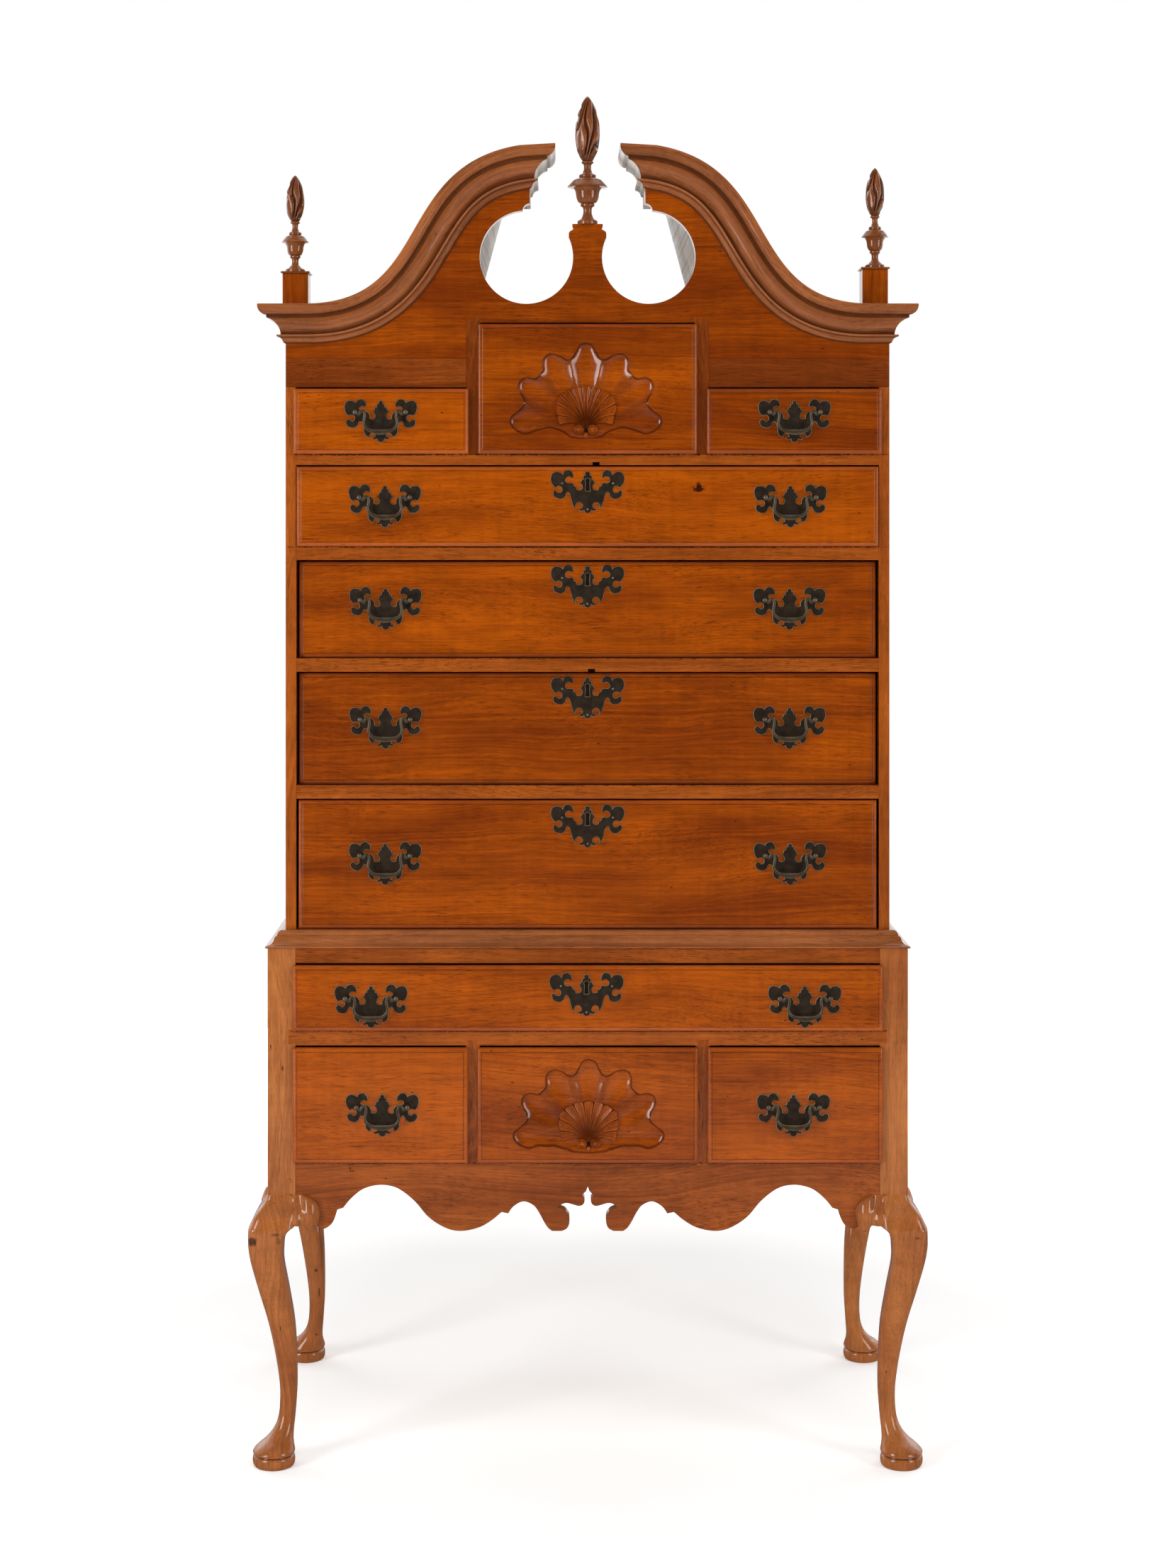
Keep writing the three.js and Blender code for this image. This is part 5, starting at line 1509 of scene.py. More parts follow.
def drawer_front(drawer, low, high, sizes):
    """A drawer's front board with its thumbnail edge, carved where it carries a shell"""
    timber = Timber("x")
    rings = edge_rings(low, high - Vector((0, 0, TOP_SAG)), sizes.thumbnail_round / MM)
    # Painted shade in the quirk and on the lip's back edge against the case. The round is pale with wear
    # and painted reflection, most at the bottom and the sides.
    quirk = {1: -0.35, 2: -0.8, 3: -0.2}

    def edge_shade(i, j):
        wear_and_sheen = 0.3 if j < 2 else 0.12
        return quirk.get(i, wear_and_sheen if i < len(rings) - 2 else -0.4) if i else 0.0

    rows = timber.loft(rings, shade=edge_shade, caps=False)
    timber.faces.append(tuple(rows[-1]))
    face = timber.again(rows[0])
    if drawer in SHELL_DRAWERS:
        carve_shell(timber, face, shell_place(drawer, low, high), sizes.carving_depth / MM)
    else:
        timber.faces.append(tuple(face))
    x0, x1, z0, z1 = box_span(drawer)
    timber.block((x0 + 0.2, low.y + LIP_THICK - 0.5, z0), (x1 - 0.2, low.y + FRONT_THICK, z1), edge=0.4)
    make_piece(f"front_of_{drawer}", timber, "front_wood", body=f"drawer_{drawer}",
               stands_for=(f"drawer_{drawer}",), sharp=28, tone=FRONT_TONES[drawer])


def box_span(drawer):
    """The drawer box behind its front: low x, high x, low z and high z"""
    x0, x1, z0, z1 = opening_of(drawer)
    overlap = -INSET_PLAY.get(drawer, -LIP_OVERLAP)
    play = max(BOX_SIDE_PLAY, RUN_BESIDE_FRONT - overlap)
    return x0 + play, x1 - play, z0 + RUNNING_GAP, z1 - BOX_HEAD_PLAY


def drawer_box(drawer, low, high):
    """The dovetailed box behind a drawer front"""
    x0, x1, z0, z1 = box_span(drawer)
    front = low.y + FRONT_THICK
    rear = high.y
    body = f"drawer_{drawer}"
    top = z1 - 0.5
    tails = max(2, round((top - z0) / TAIL_PITCH))
    pitch = (top - z0) / tails
    outline = [(rear, z0), (front, z0)]
    for k in range(tails):
        start = z0 + k * pitch
        outline += [
            (front, start + 0.2 * pitch), (front - TAIL_LENGTH, start + 0.11 * pitch),
            (front - TAIL_LENGTH, start + 0.89 * pitch), (front, start + 0.8 * pitch)]
    outline += [(front, top), (rear, top)]
    for side, x, inward in (("left", x0, 1), ("right", x1, -1)):
        sawn_board(f"{side}_wall_of_{drawer}", outline, side_face(x, inward), BOX_WALL, 0.3,
                   "inner_wood", "y", body=body)
    inner = BOX_WALL - 0.2
    start, end = x0 + inner, x1 - inner
    board(f"back_of_{drawer}", (start, rear - BOX_WALL, z0 + 1), (end, rear, top - BACK_DROP),
          body=body)
    board(f"bottom_of_{drawer}", (start, front - 1, z0 + 1), (end, rear - 1, z0 + BOX_FLOOR),
          body=body)


# The carved shell's outline, right half, from the point at its foot
SHELL_EDGE = [
    (0, 0), (12.8, 0.6), (24.5, 3.4), (34.9, 11.7), (50.6, 17.5), (63.6, 16.4), (79.2, 10.4), (89.7, 7),
    (100, 9.1), (110.5, 15.6), (116.2, 24.8), (114.4, 33.9), (105.3, 41.7), (97.5, 48.2), (94.3, 54.7),
    (96.2, 62.5), (101.4, 70.4), (103.5, 79.5), (100.1, 89.4), (89.7, 94.6), (77.9, 92.5), (71.4, 97.2),
    (66.2, 104.2), (66.7, 116), (62.3, 126.4), (51.9, 130.8), (40.1, 127.7), (29.7, 121.7),
    (21.9, 123.3), (16.2, 132.9), (10.2, 143.3), (0, 147.3),
]

# The point that the shell's rim shrinks to, the hinge that its flutes fan out from, and the
# angles of the ridges between them
SHELL_MIDDLE = (0, 52)
SHELL_HINGE = (0, 14)
SHELL_RIDGES = (-12.5, 23.3, 49.4, 77, 103)

# How wide the hollow's rim is, and the rings that carve it, as shares of the way out
RIM_WIDTH = 14
RIM_SHARES = (
    0, 0.1, 0.2, 0.3, 0.4, 0.5, 0.58, 0.66, 0.73, 0.79, 0.84, 0.88, 0.91, 0.94, 0.96, 0.975, 0.988,
    0.996, 1)

# The fan in the shell's middle, and the scroll eyes, leaf and hole at its foot
FAN_RIBS = 11
FAN_ANGLES = (10, 170)
FAN_COLUMNS = 14
FAN_ROWS = 26
EYE_PLACE = (10.3, 14.9)
EYE_RADIUS = 7.3
EYE_PROFILE = [
    (1.0, 0.98), (1.0, 0.4), (0.95, 0.24), (0.87, 0.18), (0.78, 0.24), (0.7, 0.42), (0.64, 0.45),
    (0.4, 0.36), (0.01, 0.34)]
LEAF_EDGE = [(0, 0.3), (2.2, 3), (3.4, 6.5), (2, 9.6), (0, 11), (-2, 9.6), (-3.4, 6.5), (-2.2, 3)]
LEAF_RINGS = ((1, 1), (1, 0.35), (0.75, 0.2), (0.4, 0.14))
HOLE_RINGS = ((1, 1), (1, 0.3), (0.7, 0.24))


def shell_place(drawer, low, high):
    """Turns a point of the shell's drawing and a depth into a place on the drawer front"""
    wide, tall = SHELL_SCALE[drawer]
    middle = (low.x + high.x) / 2 + SHELL_ASIDE[drawer]
    foot = low.z + SHELL_FOOT_UP[drawer]

    def point(u, v, depth):
        dip = smooth(16, 44, abs(u)) * (1 - smooth(58, 80, abs(u))) * (1 - smooth(10, 45, v))
        return middle + u * wide, low.y + depth, foot + v * tall - SHELL_DIP[drawer] * dip

    return point


def flute_share(u, v):
    """How far a point lies from the middle of its flute: 0 on the middle and 1 on a ridge"""
    angle = math.degrees(math.atan2(v - SHELL_HINGE[1], abs(u)))
    if angle <= SHELL_RIDGES[0]:
        return 1.0
    for start, end in zip(SHELL_RIDGES, SHELL_RIDGES[1:]):
        if angle <= end:
            return abs(2 * (angle - start) / (end - start) - 1)
    return 0.0


def carve_shell(timber, face, place, depth):
    """Hollows the shell's lobes out of a drawer front whose face is the row of points"""
    outline = both_halves(spline(SHELL_EDGE, 6))
    tree = KDTree(len(outline) * 4)
    index = 0
    for (u0, v0), (u1, v1) in zip(outline, [*outline[1:], outline[0]]):
        for k in range(4):
            tree.insert((u0 + (u1 - u0) * k / 4, v0 + (v1 - v0) * k / 4, 0), index)
            index += 1
    tree.balance()
    rings = []
    shades = []
    for share in RIM_SHARES:
        ring = []
        shade = []
        for u, v in outline:
            x = SHELL_MIDDLE[0] + (u - SHELL_MIDDLE[0]) * share
            z = SHELL_MIDDLE[1] + (v - SHELL_MIDDLE[1]) * share
            gap = tree.find((x, z, 0))[2] if share < 1 else 0.0
            wall = math.sqrt(max(0.0, 1 - (1 - min(gap / RIM_WIDTH, 1)) ** 2))
            out = math.dist((x, z), SHELL_HINGE)
            ridge = flute_share(x, z) ** 2 * (0.22 + 0.48 * smooth(35, 95, out))
            sunk = depth * wall * (1 - ridge) * (0.8 + 0.2 * smooth(40, 100, out))
            ring.append(place(x, z, sunk))
            # Painted shade just inside the rim and on the flutes' sides; painted highlights on the
            # ridges and along the rim's edge
            crease_shade = 0.75 * math.exp(-((gap - 1.6) / 1.2) ** 2) if share < 1 else 0.0
            side_shade = 0.35 * smooth(0.45, 0.8, flute_share(x, z)) * smooth(25, 55, out)
            shade.append(0.25 * ridge - crease_shade - side_shade + 0.5 * (share == 1))
        rings.append(ring)
        shades.append(shade)
    timber.loft(rings, shade=lambda i, j: shades[i][j], caps=False)
    edge = [timber.point(*place(u, v, 0)) for u, v in outline]
    timber.flat([face, edge])


def fan_point(angle, share):
    """A point of the fan's drawing: its ribs rise together and bend outwards"""
    steep = abs(90 - angle)
    radius = 38.5 + 20.5 * smooth(82, 38, steep)
    across = abs((angle - FAN_ANGLES[0]) / (FAN_ANGLES[1] - FAN_ANGLES[0]) * FAN_RIBS % 1 * 2 - 1)
    radius *= 1 + 0.07 * (1 - across ** 4)
    bent = 90 + (angle - 90) * (0.5 + 0.5 * share ** 0.7)
    run = share * radius
    return (
        run * math.cos(math.radians(bent)), SHELL_HINGE[1] + 3 + run * math.sin(math.radians(bent)),
        across)


def shell_fan(drawer, place, depth):
    """The ribbed fan that stands in the middle of the shell"""
    columns = FAN_RIBS * FAN_COLUMNS
    rings = []
    shades = []
    for row in range(FAN_ROWS + 3):
        share = min(0.1 + 0.9 * row / FAN_ROWS, 1.0)
        drop = max(0, row - FAN_ROWS) / 2
        ring = []
        shade = []
        for column in range(columns + 1):
            angle = FAN_ANGLES[0] + (FAN_ANGLES[1] - FAN_ANGLES[0]) * column / columns
            u, v, across = fan_point(angle, share * (1 + 0.012 * drop))
            seam = smooth(0.88, 1, across)
            rib = smooth(0.45, 0.8, across) - 0.6 * seam
            end = smooth(0.8, 1, share) * (1 - across ** 2) * 0.1
            sunk = (0.16 + (0.36 - 0.34 * rib) * smooth(0, 0.3, share) - end) * depth
            ring.append(place(u, v, sunk + drop * (depth * 1.1 - sunk)))
            # Painted shade in the grooves between the ribs, low in the fan and on its drop to the floor;
            # painted highlights on the ribs
            deep = 0.5 * (1 - rib) * (1 - 0.7 * smooth(0.2, 0.9, share))
            shade.append(0.3 * rib - deep - 0.8 * seam - 0.5 * (drop > 0))
        rings.append(ring)
        shades.append(shade)
    timber = Timber("z")
    timber.loft(rings, shade=lambda i, j: shades[i][j], closed=False, caps=False)
    make_piece(f"fan_of_{drawer}", timber, "front_wood", body=f"drawer_{drawer}", sharp=50)


def shell_eyes(drawer, place, depth):
    """The two scroll eyes at the fan's foot, and the small hole and leaf between them"""
    body = f"drawer_{drawer}"
    for side, sign in SIDES:
        timber = Timber("x")
        rings = []
        for share, sunk in EYE_PROFILE:
            ring = []
            for k in range(32):
                angle = 2 * math.pi * k / 32
                ring.append(place(
                    sign * EYE_PLACE[0] + EYE_RADIUS * share * math.cos(angle),
                    EYE_PLACE[1] + EYE_RADIUS * share * math.sin(angle), sunk * depth))
            rings.append(ring)
        # Painted shade in the hollow inside each eye
        timber.loft(rings, shade=lambda i, j: -0.45 if 4 < i < 7 else 0.0)
        make_piece(f"eye_{side}_of_{drawer}", timber, "front_wood", body=body, sharp=50)
    # The hole is a near-black piece of painted shade
    hole = Timber("x")
    turns = [k * math.pi / 6 for k in range(12)]
    hole.loft([
        [place(2.2 * share * math.cos(t), 14 + 3 * share * math.sin(t), sunk * depth) for t in turns]
        for share, sunk in HOLE_RINGS])
    make_piece(f"hole_of_{drawer}", hole, "hollow_shadow", body=body)
    leaf = Timber("z")
    leaf_edge = spline(LEAF_EDGE, 4, True)
    rings = [
        [place(u * share, 6 + (v - 6) * share, sunk * depth) for u, v in leaf_edge]
        for share, sunk in LEAF_RINGS]
    # Painted shade on the leaf's outer wall, and a little over the rest of it
    leaf.loft(rings, shade=lambda i, j: -0.35 if i < 2 else -0.1)
    make_piece(f"leaf_of_{drawer}", leaf, "front_wood", body=body, sharp=50)


def build_shells(sizes):
    depth = sizes.carving_depth / MM
    for drawer in SHELL_DRAWERS:
        place = shell_place(drawer, *node_box(f"drawer_{drawer}"))
        shell_fan(drawer, place, depth)
        shell_eyes(drawer, place, depth)


def build_drawers(sizes):
    for drawer in LIPPED + LONG:
        low, high = node_box(f"drawer_{drawer}")
        drawer_front(drawer, low, high, sizes)
        drawer_box(drawer, low, high)


# Brasses

# Each pull and its drawer
PULLS = {
    "waist_left": "waist", "waist_right": "waist", "bottom_left": "bottom_left",
    "bottom_right": "bottom_right", "top_left": "top_left", "top_right": "top_right",
    **{f"{long}_{side}": long for long in LONG for side in ("left", "right")},
}

# The plate's middle over its foot, and the posts: how far they stand out of the front and over
# the plate's middle, and half the distance between them. The bail swings AXIS_OUT off the plate.
PLATE_DOWN = 33.5
PLATE_THICK = 1.6
POST_OUT = 14
POST_RISE = 12.6
BORING_HALF = 38.1
AXIS_OUT = 9
POST_PROFILE = [
    (0.4, 0), (3.6, 0), (3.6, 2.2), (2.9, 2.8), (2.6, 5), (2.7, 8), (3.5, 8.8), (3.9, 10), (4, 11.2),
    (3.6, 12.6), (2.5, 13.6), (1.2, 14), (0.2, POST_OUT),
]
NUT_PROFILE = [
    (0.3, 0), (5.4, 0), (5.8, -0.5), (5.8, -3), (5.4, -3.5), (2.4, -3.5), (2.4, -6), (0.3, -6.2),
]

# The back plate's outline, left half, from its spire round to its foot
PLATE_EDGE = [
    (0, 30.5), (-2.3, 30), (-3.6, 28), (-3.4, 26.4), (-4.4, 25.3), (-6.3, 24.9), (-6.7, 23.6),
    (-6.2, 21.6), (-7.6, 20.4), (-9.7, 19.9), (-9.8, 17.8), (-11.1, 15.4), (-14.2, 14.2),
    (-11.6, 12.9), (-9.6, 10.2), (-8.6, 7.1), (-9.2, 4.6), (-11.1, 3.1), (-14.2, 2.7), (-16.4, 4),
    (-16.2, 6), (-16.6, 8.4), (-18.7, 12), (-22.7, 14.7), (-28.9, 15.4), (-31.4, 16.3), (-32, 17.8),
    (-31.8, 19.6), (-30.7, 20.4), (-27.6, 21.4), (-25.4, 20.9), (-23.6, 19.6), (-21.9, 21.4),
    (-21.6, 24), (-22.3, 27), (-24, 29.8), (-28, 33), (-33.3, 32.6), (-36.4, 30.6), (-38.2, 27.6),
    (-39.8, 29.2), (-42.2, 30), (-48.4, 30.8), (-53.8, 27.1), (-55.4, 20), (-53.8, 12.9),
    (-51.8, 9.6), (-48.9, 6.8), (-46.8, 8), (-43.6, 8.1), (-40.6, 6.9), (-39.4, 4.2), (-40.2, 0.9),
    (-43.6, -0.9), (-45.6, 1.2), (-47.4, 2.4), (-49.8, 2.4), (-52.2, 0.6), (-53.1, -2.4),
    (-51.6, -7.1), (-47.4, -10.4), (-41.3, -11.6), (-37.4, -9.8), (-35.1, -7.6), (-33.6, -4),
    (-31.6, -1.6), (-29.2, -2.6), (-27.6, -4.9), (-26.2, -11.1), (-25.3, -19.1), (-21.3, -24),
    (-16.4, -25.5), (-17.2, -23.4), (-16.9, -21.8), (-15.4, -20.2), (-13, -19.6), (-10.6, -20),
    (-8.9, -21.6), (-8.9, -23.8), (-10.2, -24.9), (-13.8, -25.6), (-12.4, -27.8), (-10.2, -29.1),
    (-5.8, -27.8), (-5.4, -29.6), (-4.9, -31.1), (-2.6, -32.2), (-1.3, -33.2), (0, -33.4),
]

# The escutcheon's outline, left half, drawn the same way
ESCUTCHEON_EDGE = [
    (0, 30.1), (-2.6, 30), (-4.1, 28.7), (-4, 26.4), (-3.6, 24.8), (-5.6, 24.1), (-7, 22.5),
    (-6.9, 20.6), (-6.3, 19.1), (-8.4, 18.4), (-9.4, 16.6), (-10.6, 14.4), (-13.2, 12.9),
    (-10.9, 12.2), (-9.4, 11), (-8.3, 8.9), (-8.1, 6.7), (-8.7, 4.4), (-10.3, 2.9), (-13.2, 2.4),
    (-16.3, 3.3), (-15.9, 6.7), (-18.3, 7.2), (-20.2, 8.8), (-21.8, 12.4), (-23.7, 13.6),
    (-27.6, 13.1), (-30.6, 13.2), (-32.3, 14.4), (-33.6, 16.6), (-33.3, 18.7), (-32.2, 20.8),
    (-30.4, 22), (-28.4, 22.4), (-26.6, 22), (-24.8, 21), (-23.2, 19.8), (-21.8, 21.4),
    (-21.5, 23.6), (-22.2, 27), (-23.7, 30.1), (-28.5, 33.2), (-34.7, 31.6), (-36.6, 29),
    (-37.6, 25.8), (-39.2, 27.8), (-41.4, 29.2), (-47.7, 30.3), (-53.9, 27.3), (-56.3, 19.6),
    (-54.4, 12), (-49.1, 5.7), (-46.7, 6.7), (-44.6, 7.7), (-42.4, 7.6), (-39.8, 6), (-38.9, 3.3),
    (-39.4, 0.6), (-41, -1.2), (-43.4, -1.6), (-45.7, -0.5), (-48.6, 1.7), (-51.2, 1.6),
    (-52.4, -1), (-52, -5.3), (-48.6, -9.6), (-41, -12), (-35.2, -9.1), (-33.4, -6.6),
    (-32.6, -3.4), (-31.2, -1.2), (-29.4, -1.6), (-27.6, -3.5), (-25.6, -9.1), (-24.2, -15.8),
    (-20.9, -23.4), (-16.6, -26.8), (-18, -23.6), (-18, -21), (-16.1, -17.9), (-13.4, -16.7),
    (-10.4, -17.4), (-8.4, -19.6), (-7.8, -22.2), (-8.6, -24.4), (-11.3, -25.6), (-14.2, -24.9),
    (-13.6, -27), (-12.2, -28.7), (-7.5, -29.4), (-5.6, -28.2), (-5.2, -30), (-4.2, -31.4),
    (-2, -32.6), (0, -33.5),
]

# The height of each escutcheon's middle, and the one that sits aside
ESCUTCHEONS = {"waist": 713.6, "long_1": 962.9, "long_2": 1157.5, "long_3": 1326.3, "long_4": 1469.9}
ESCUTCHEON_ASIDE = {"waist": -2}
ESCUTCHEON_THICK = 1.3
PIN_PROFILE = [(1.7, 0), (1.6, 0.4), (1.1, 0.8), (0.1, 0.95)]
PIN_PLACES = {"left": (-38.5, 12.5), "right": (38.5, 12.5), "low": (0, -27)}

# The lock behind it: half its width and height, and its thickness
LOCK_WIDE = 32
LOCK_HIGH = 26
LOCK_THICK = 11

# The bail's route, left half, from the swing axis, and how its wire swells to the grip
BAIL_ROUTE = [
    (-34.6, -1), (-34, -2), (-32, -3), (-30.5, 0), (-28.5, 1.8), (-26, 1.6), (-24.2, -1), (-23.8, -6),
    (-24.8, -12), (-25.5, -16), (-24.5, -20.5), (-20, -25.5), (-13, -28.6), (-6, -29.9), (0, -30.2),
]
BAIL_SIDES = 16
GRIP_REACH = 22


def pull_place(name):
    """The middle of a pull's plate on its drawer front"""
    low, high = node_box(f"plate_{name}")
    return Vector(((low.x + high.x) / 2, high.y, low.z + PLATE_DOWN))


def cast_plate(name, edge, middle, thickness, bevel, body, holes=(), stands_for=()):
    """A flat casting with a bright bevelled edge"""
    outline = [(middle.x + u, middle.z + v) for u, v in both_halves(spline(edge, 2))]
    timber = Timber("x")
    timber.sawn(outline, front_face(middle.y - thickness), thickness, bevel, holes, wear_and_sheen=1.0)
    make_piece(name, timber, "pull_brass", body=body, stands_for=stands_for, sharp=24)


def pull_posts(name, middle, body):
    """The two posts, whose ball ends stand in front of the bail, and their nuts inside the drawer"""
    inside = middle.y + FRONT_THICK + 0.1
    for side, sign in SIDES:
        x = middle.x + sign * BORING_HALF
        z = middle.z + POST_RISE
        turned_to_front(f"post_{side}_of_{name}", POST_PROFILE, (x, middle.y, z), 20, "pull_brass",
                        shade=lambda i, j: 0.3 if i > 6 else 0.05, body=body, sharp=60)
        turned_to_front(f"nut_{side}_of_{name}", NUT_PROFILE, (x, inside, z), 6, "pull_brass",
                        body=body, sharp=25)


def bail(name, middle, sizes):
    """The bent wire that the hand pulls, with its flattened grip"""
    half = spline(BAIL_ROUTE, 5)
    route = [*half, *((-u, v) for u, v in reversed(half[:-1]))]
    wire = sizes.bail_wire / MM
    grip = sizes.bail_grip / MM
    axis = (middle.x, middle.y - PLATE_THICK - AXIS_OUT, middle.z + POST_RISE)
    last = len(route) - 1
    rings = []
    for i, (u, v) in enumerate(route):
        before, after = route[max(i - 1, 0)], route[min(i + 1, last)]
        along = unit(after[0] - before[0], after[1] - before[1])
        swell = smooth(0, 1, 1 - abs(u) / GRIP_REACH) if v < -18 else 0.0
        radius = wire + (grip - wire) * swell
        deep = wire + 0.7 * swell
        if i in (0, last):
            radius, deep = 0.7 * radius, 0.7 * deep
        ring = []
        for k in range(BAIL_SIDES):
            angle = 2 * math.pi * k / BAIL_SIDES
            across = radius * math.cos(angle)
            ring.append((
                axis[0] + u - along[1] * across, axis[1] + deep * math.sin(angle),
                axis[2] + v + along[0] * across))
        rings.append(ring)
    timber = Timber("x")

    def wear_and_highlight(i, j):
        edge = abs(math.cos(2 * math.pi * j / BAIL_SIDES))
        return 0.1 + 0.6 * smooth(0.5, 1, edge)

    timber.loft(rings, shade=wear_and_highlight)
    make_piece(f"bail_of_{name}", timber, "pull_brass", body=f"bail_{name}",
               stands_for=(f"bail_{name}",), sharp=70)


def build_pulls(sizes):
    bevel = sizes.plate_bevel / MM
    for name, drawer in PULLS.items():
        middle = pull_place(name)
        body = f"drawer_{drawer}"
        cast_plate(f"back_plate_{name}", PLATE_EDGE, middle, PLATE_THICK, bevel, body,
                   stands_for=(f"plate_{name}",))
        pull_posts(name, middle, body)
        bail(name, middle, sizes)


def keyhole(middle):
    """A round hole over a slot that widens downwards"""
    top = arc((middle.x, middle.z + 16.5), 3.6, -38, 218, 18)
    return [*top, (middle.x - 2.7, middle.z + 12.2), (middle.x - 3.5, middle.z + 0.8),
            (middle.x + 3.5, middle.z + 0.8), (middle.x + 2.7, middle.z + 12.2)]


def build_escutcheons(sizes):
    """The escutcheons with their keyholes and pins, and the locks behind the fronts"""
    bevel = min(sizes.plate_bevel / MM, 0.6)
    for drawer, level in ESCUTCHEONS.items():
        body = f"drawer_{drawer}"
        face = node_box(body)[0].y
        aside = ESCUTCHEON_ASIDE.get(drawer, 0)
        middle = Vector((aside, face, level))
        slot = keyhole(middle)
        cast_plate(f"escutcheon_of_{drawer}", ESCUTCHEON_EDGE, middle, ESCUTCHEON_THICK, bevel, body,
                   holes=[slot])
        # A near-black sheet of painted shade in the keyhole
        sawn_board(f"keyhole_of_{drawer}", offset(slot, -0.3), front_face(face - 0.1), 0.4, 0.05,
                   "hollow_shadow", "z", body=body)
        for pin, (u, v) in PIN_PLACES.items():
            turned_to_front(
                f"pin_{pin}_of_{drawer}", PIN_PROFILE, (aside + u, face - ESCUTCHEON_THICK, level + v),
                12, "pull_brass", shade=lambda i, j: 0.6, body=body, sharp=70)
        inside = face + FRONT_THICK
        top = min(level + LOCK_HIGH, box_span(drawer)[3])
        board(f"lock_of_{drawer}", (-LOCK_WIDE, inside - 0.5, level - LOCK_HIGH),
              (LOCK_WIDE, inside + LOCK_THICK, top), "pull_brass", body=body)


# Small parts of the case

PEG_LEVEL = 431
PEG_IN = 9


def build_pegs(sizes):
    """The oak pins that hold the apron in the front posts"""
    radius = sizes.peg_radius / MM
    profile = [(radius, -1), (radius, 0.12), (radius - 0.4, 0.25), (0.1, 0.3)]
    for side, sign in SIDES:
        turned_to_front(
            f"peg_{side}", profile, (sign * (POST_INNER + PEG_IN), LOWER_FRONT, PEG_LEVEL), 24,
            "leg_wood", shade=lambda i, j: -0.55 if i < 2 else -0.12, grain="y", sharp=50)


# Settings

def tint(name, description, values):
    return FloatVectorProperty(
        name=name, description=description, default=values, subtype="COLOR", size=3, min=0, max=1)


def length(name, description, value):
    return FloatProperty(
        name=name, description=description, default=value, unit="LENGTH", min=0, precision=4)


def light_power(name, description, value):
    return FloatProperty(name=name, description=description, default=value, unit="POWER", min=0)


class HighboyWoods(PropertyGroup):
    """Colours of the woods and the brass"""
    front_pale: tint("Fronts, pale", "Paler wood of the fronts and scroll board", (0.39, 0.074, 0.0007))
    front_deep: tint("Fronts, deep", "Deeper wood of the fronts and scroll board", (0.17, 0.026, 0.0005))
    case_pale: tint("Case, pale", "Paler wood of the sides, rails and apron", (0.38, 0.088, 0.009))
    case_deep: tint("Case, deep", "Deeper wood of the sides, rails and apron", (0.16, 0.03, 0.003))
    moulding_pale: tint("Mouldings, pale", "Paler wood of the mouldings", (0.36, 0.112, 0.032))
    moulding_deep: tint("Mouldings, deep", "Deeper wood of the mouldings", (0.16, 0.044, 0.013))
    leg_pale: tint("Legs, pale", "Paler wood of the legs", (0.45, 0.15, 0.038))
    leg_deep: tint("Legs, deep", "Deeper wood of the legs", (0.27, 0.074, 0.017))
    turned_pale: tint("Finials, pale", "Paler wood of the finials", (0.3, 0.092, 0.024))
    turned_deep: tint("Finials, deep", "Deeper wood of the finials", (0.14, 0.037, 0.01))
    pore: tint("Pores", "Dark streaks and pores in the varnished woods", (0.06, 0.01, 0.001))
    inner_pale: tint("Inner wood, pale", "Paler bare wood inside and at the back", (0.46, 0.29, 0.14))
    inner_deep: tint("Inner wood, deep", "Deeper bare wood inside and at the back", (0.3, 0.17, 0.075))
    inner_dark: tint("Inner wood, stain", "Age stains on the bare wood", (0.1, 0.052, 0.024))
    # The bonnet wood is near white partly as a painted reflection of the bright backdrop, over pale,
    # dusty bare wood
    bonnet_pale: tint("Bonnet, pale", "Dusty bare wood of the walls beside the gap", (0.92, 0.91, 0.9))
    bonnet_deep: tint("Bonnet, deep", "Darker parts of the walls beside the gap", (0.74, 0.71, 0.67))
    brass_dark: tint("Brass, dark", "Tarnish on the faces of the pulls", (0.032, 0.021, 0.013))
    brass_bright: tint("Brass, bright", "Rubbed metal on the edges of the pulls", (0.42, 0.33, 0.2))


class HighboySizes(PropertyGroup):
    """Sizes of small forms that Blender adds to the frame"""
    thumbnail_round: length("Thumbnail round", "Round of the drawer fronts' worked edge", 0.0062)
    carving_depth: length("Carving depth", "How deep the shells are hollowed", 0.0085)
    bail_wire: length("Bail wire", "Half the thickness of a bail's wire", 0.0021)
    bail_grip: length("Bail grip", "Half the height of a bail's grip", 0.0041)
    plate_bevel: length("Plate bevel", "Bright bevel round the brass plates", 0.0007)
    peg_radius: length("Peg", "Radius of the oak pins", 0.0036)
    flame_depth: FloatProperty(
        name="Flame depth", description="Depth of the flames' grooves, as a share of their radius",
        default=0.36, min=0, max=0.6, subtype="FACTOR")


class HighboyStage(PropertyGroup):
    """Camera, floor and lights"""
    floor_tint: tint("Floor", "Colour of the pale floor", (0.93, 0.93, 0.93))
    left_light: light_power("Left light", "Power of the tall soft light at the left", 92)
    right_light: light_power("Right light", "Power of the tall soft light at the right", 57)
    top_light: light_power("Top light", "Power of the broad soft light overhead", 70)
    rear_light: light_power("Rear lights", "Power of each soft light behind", 20)
    lens: FloatProperty(
        name="Lens", description="Focal length on a 36 mm frame", default=57.89, min=1, unit="CAMERA")


class HighboySettings(PropertyGroup):
    """All that a user would change"""
    woods: PointerProperty(
        type=HighboyWoods, name="Woods", description="Colours of the woods and the brass")
    sizes: PointerProperty(type=HighboySizes, name="Sizes", description="Sizes of small forms")
    stage: PointerProperty(type=HighboyStage, name="Stage", description="Camera, floor and lights")


# Stage

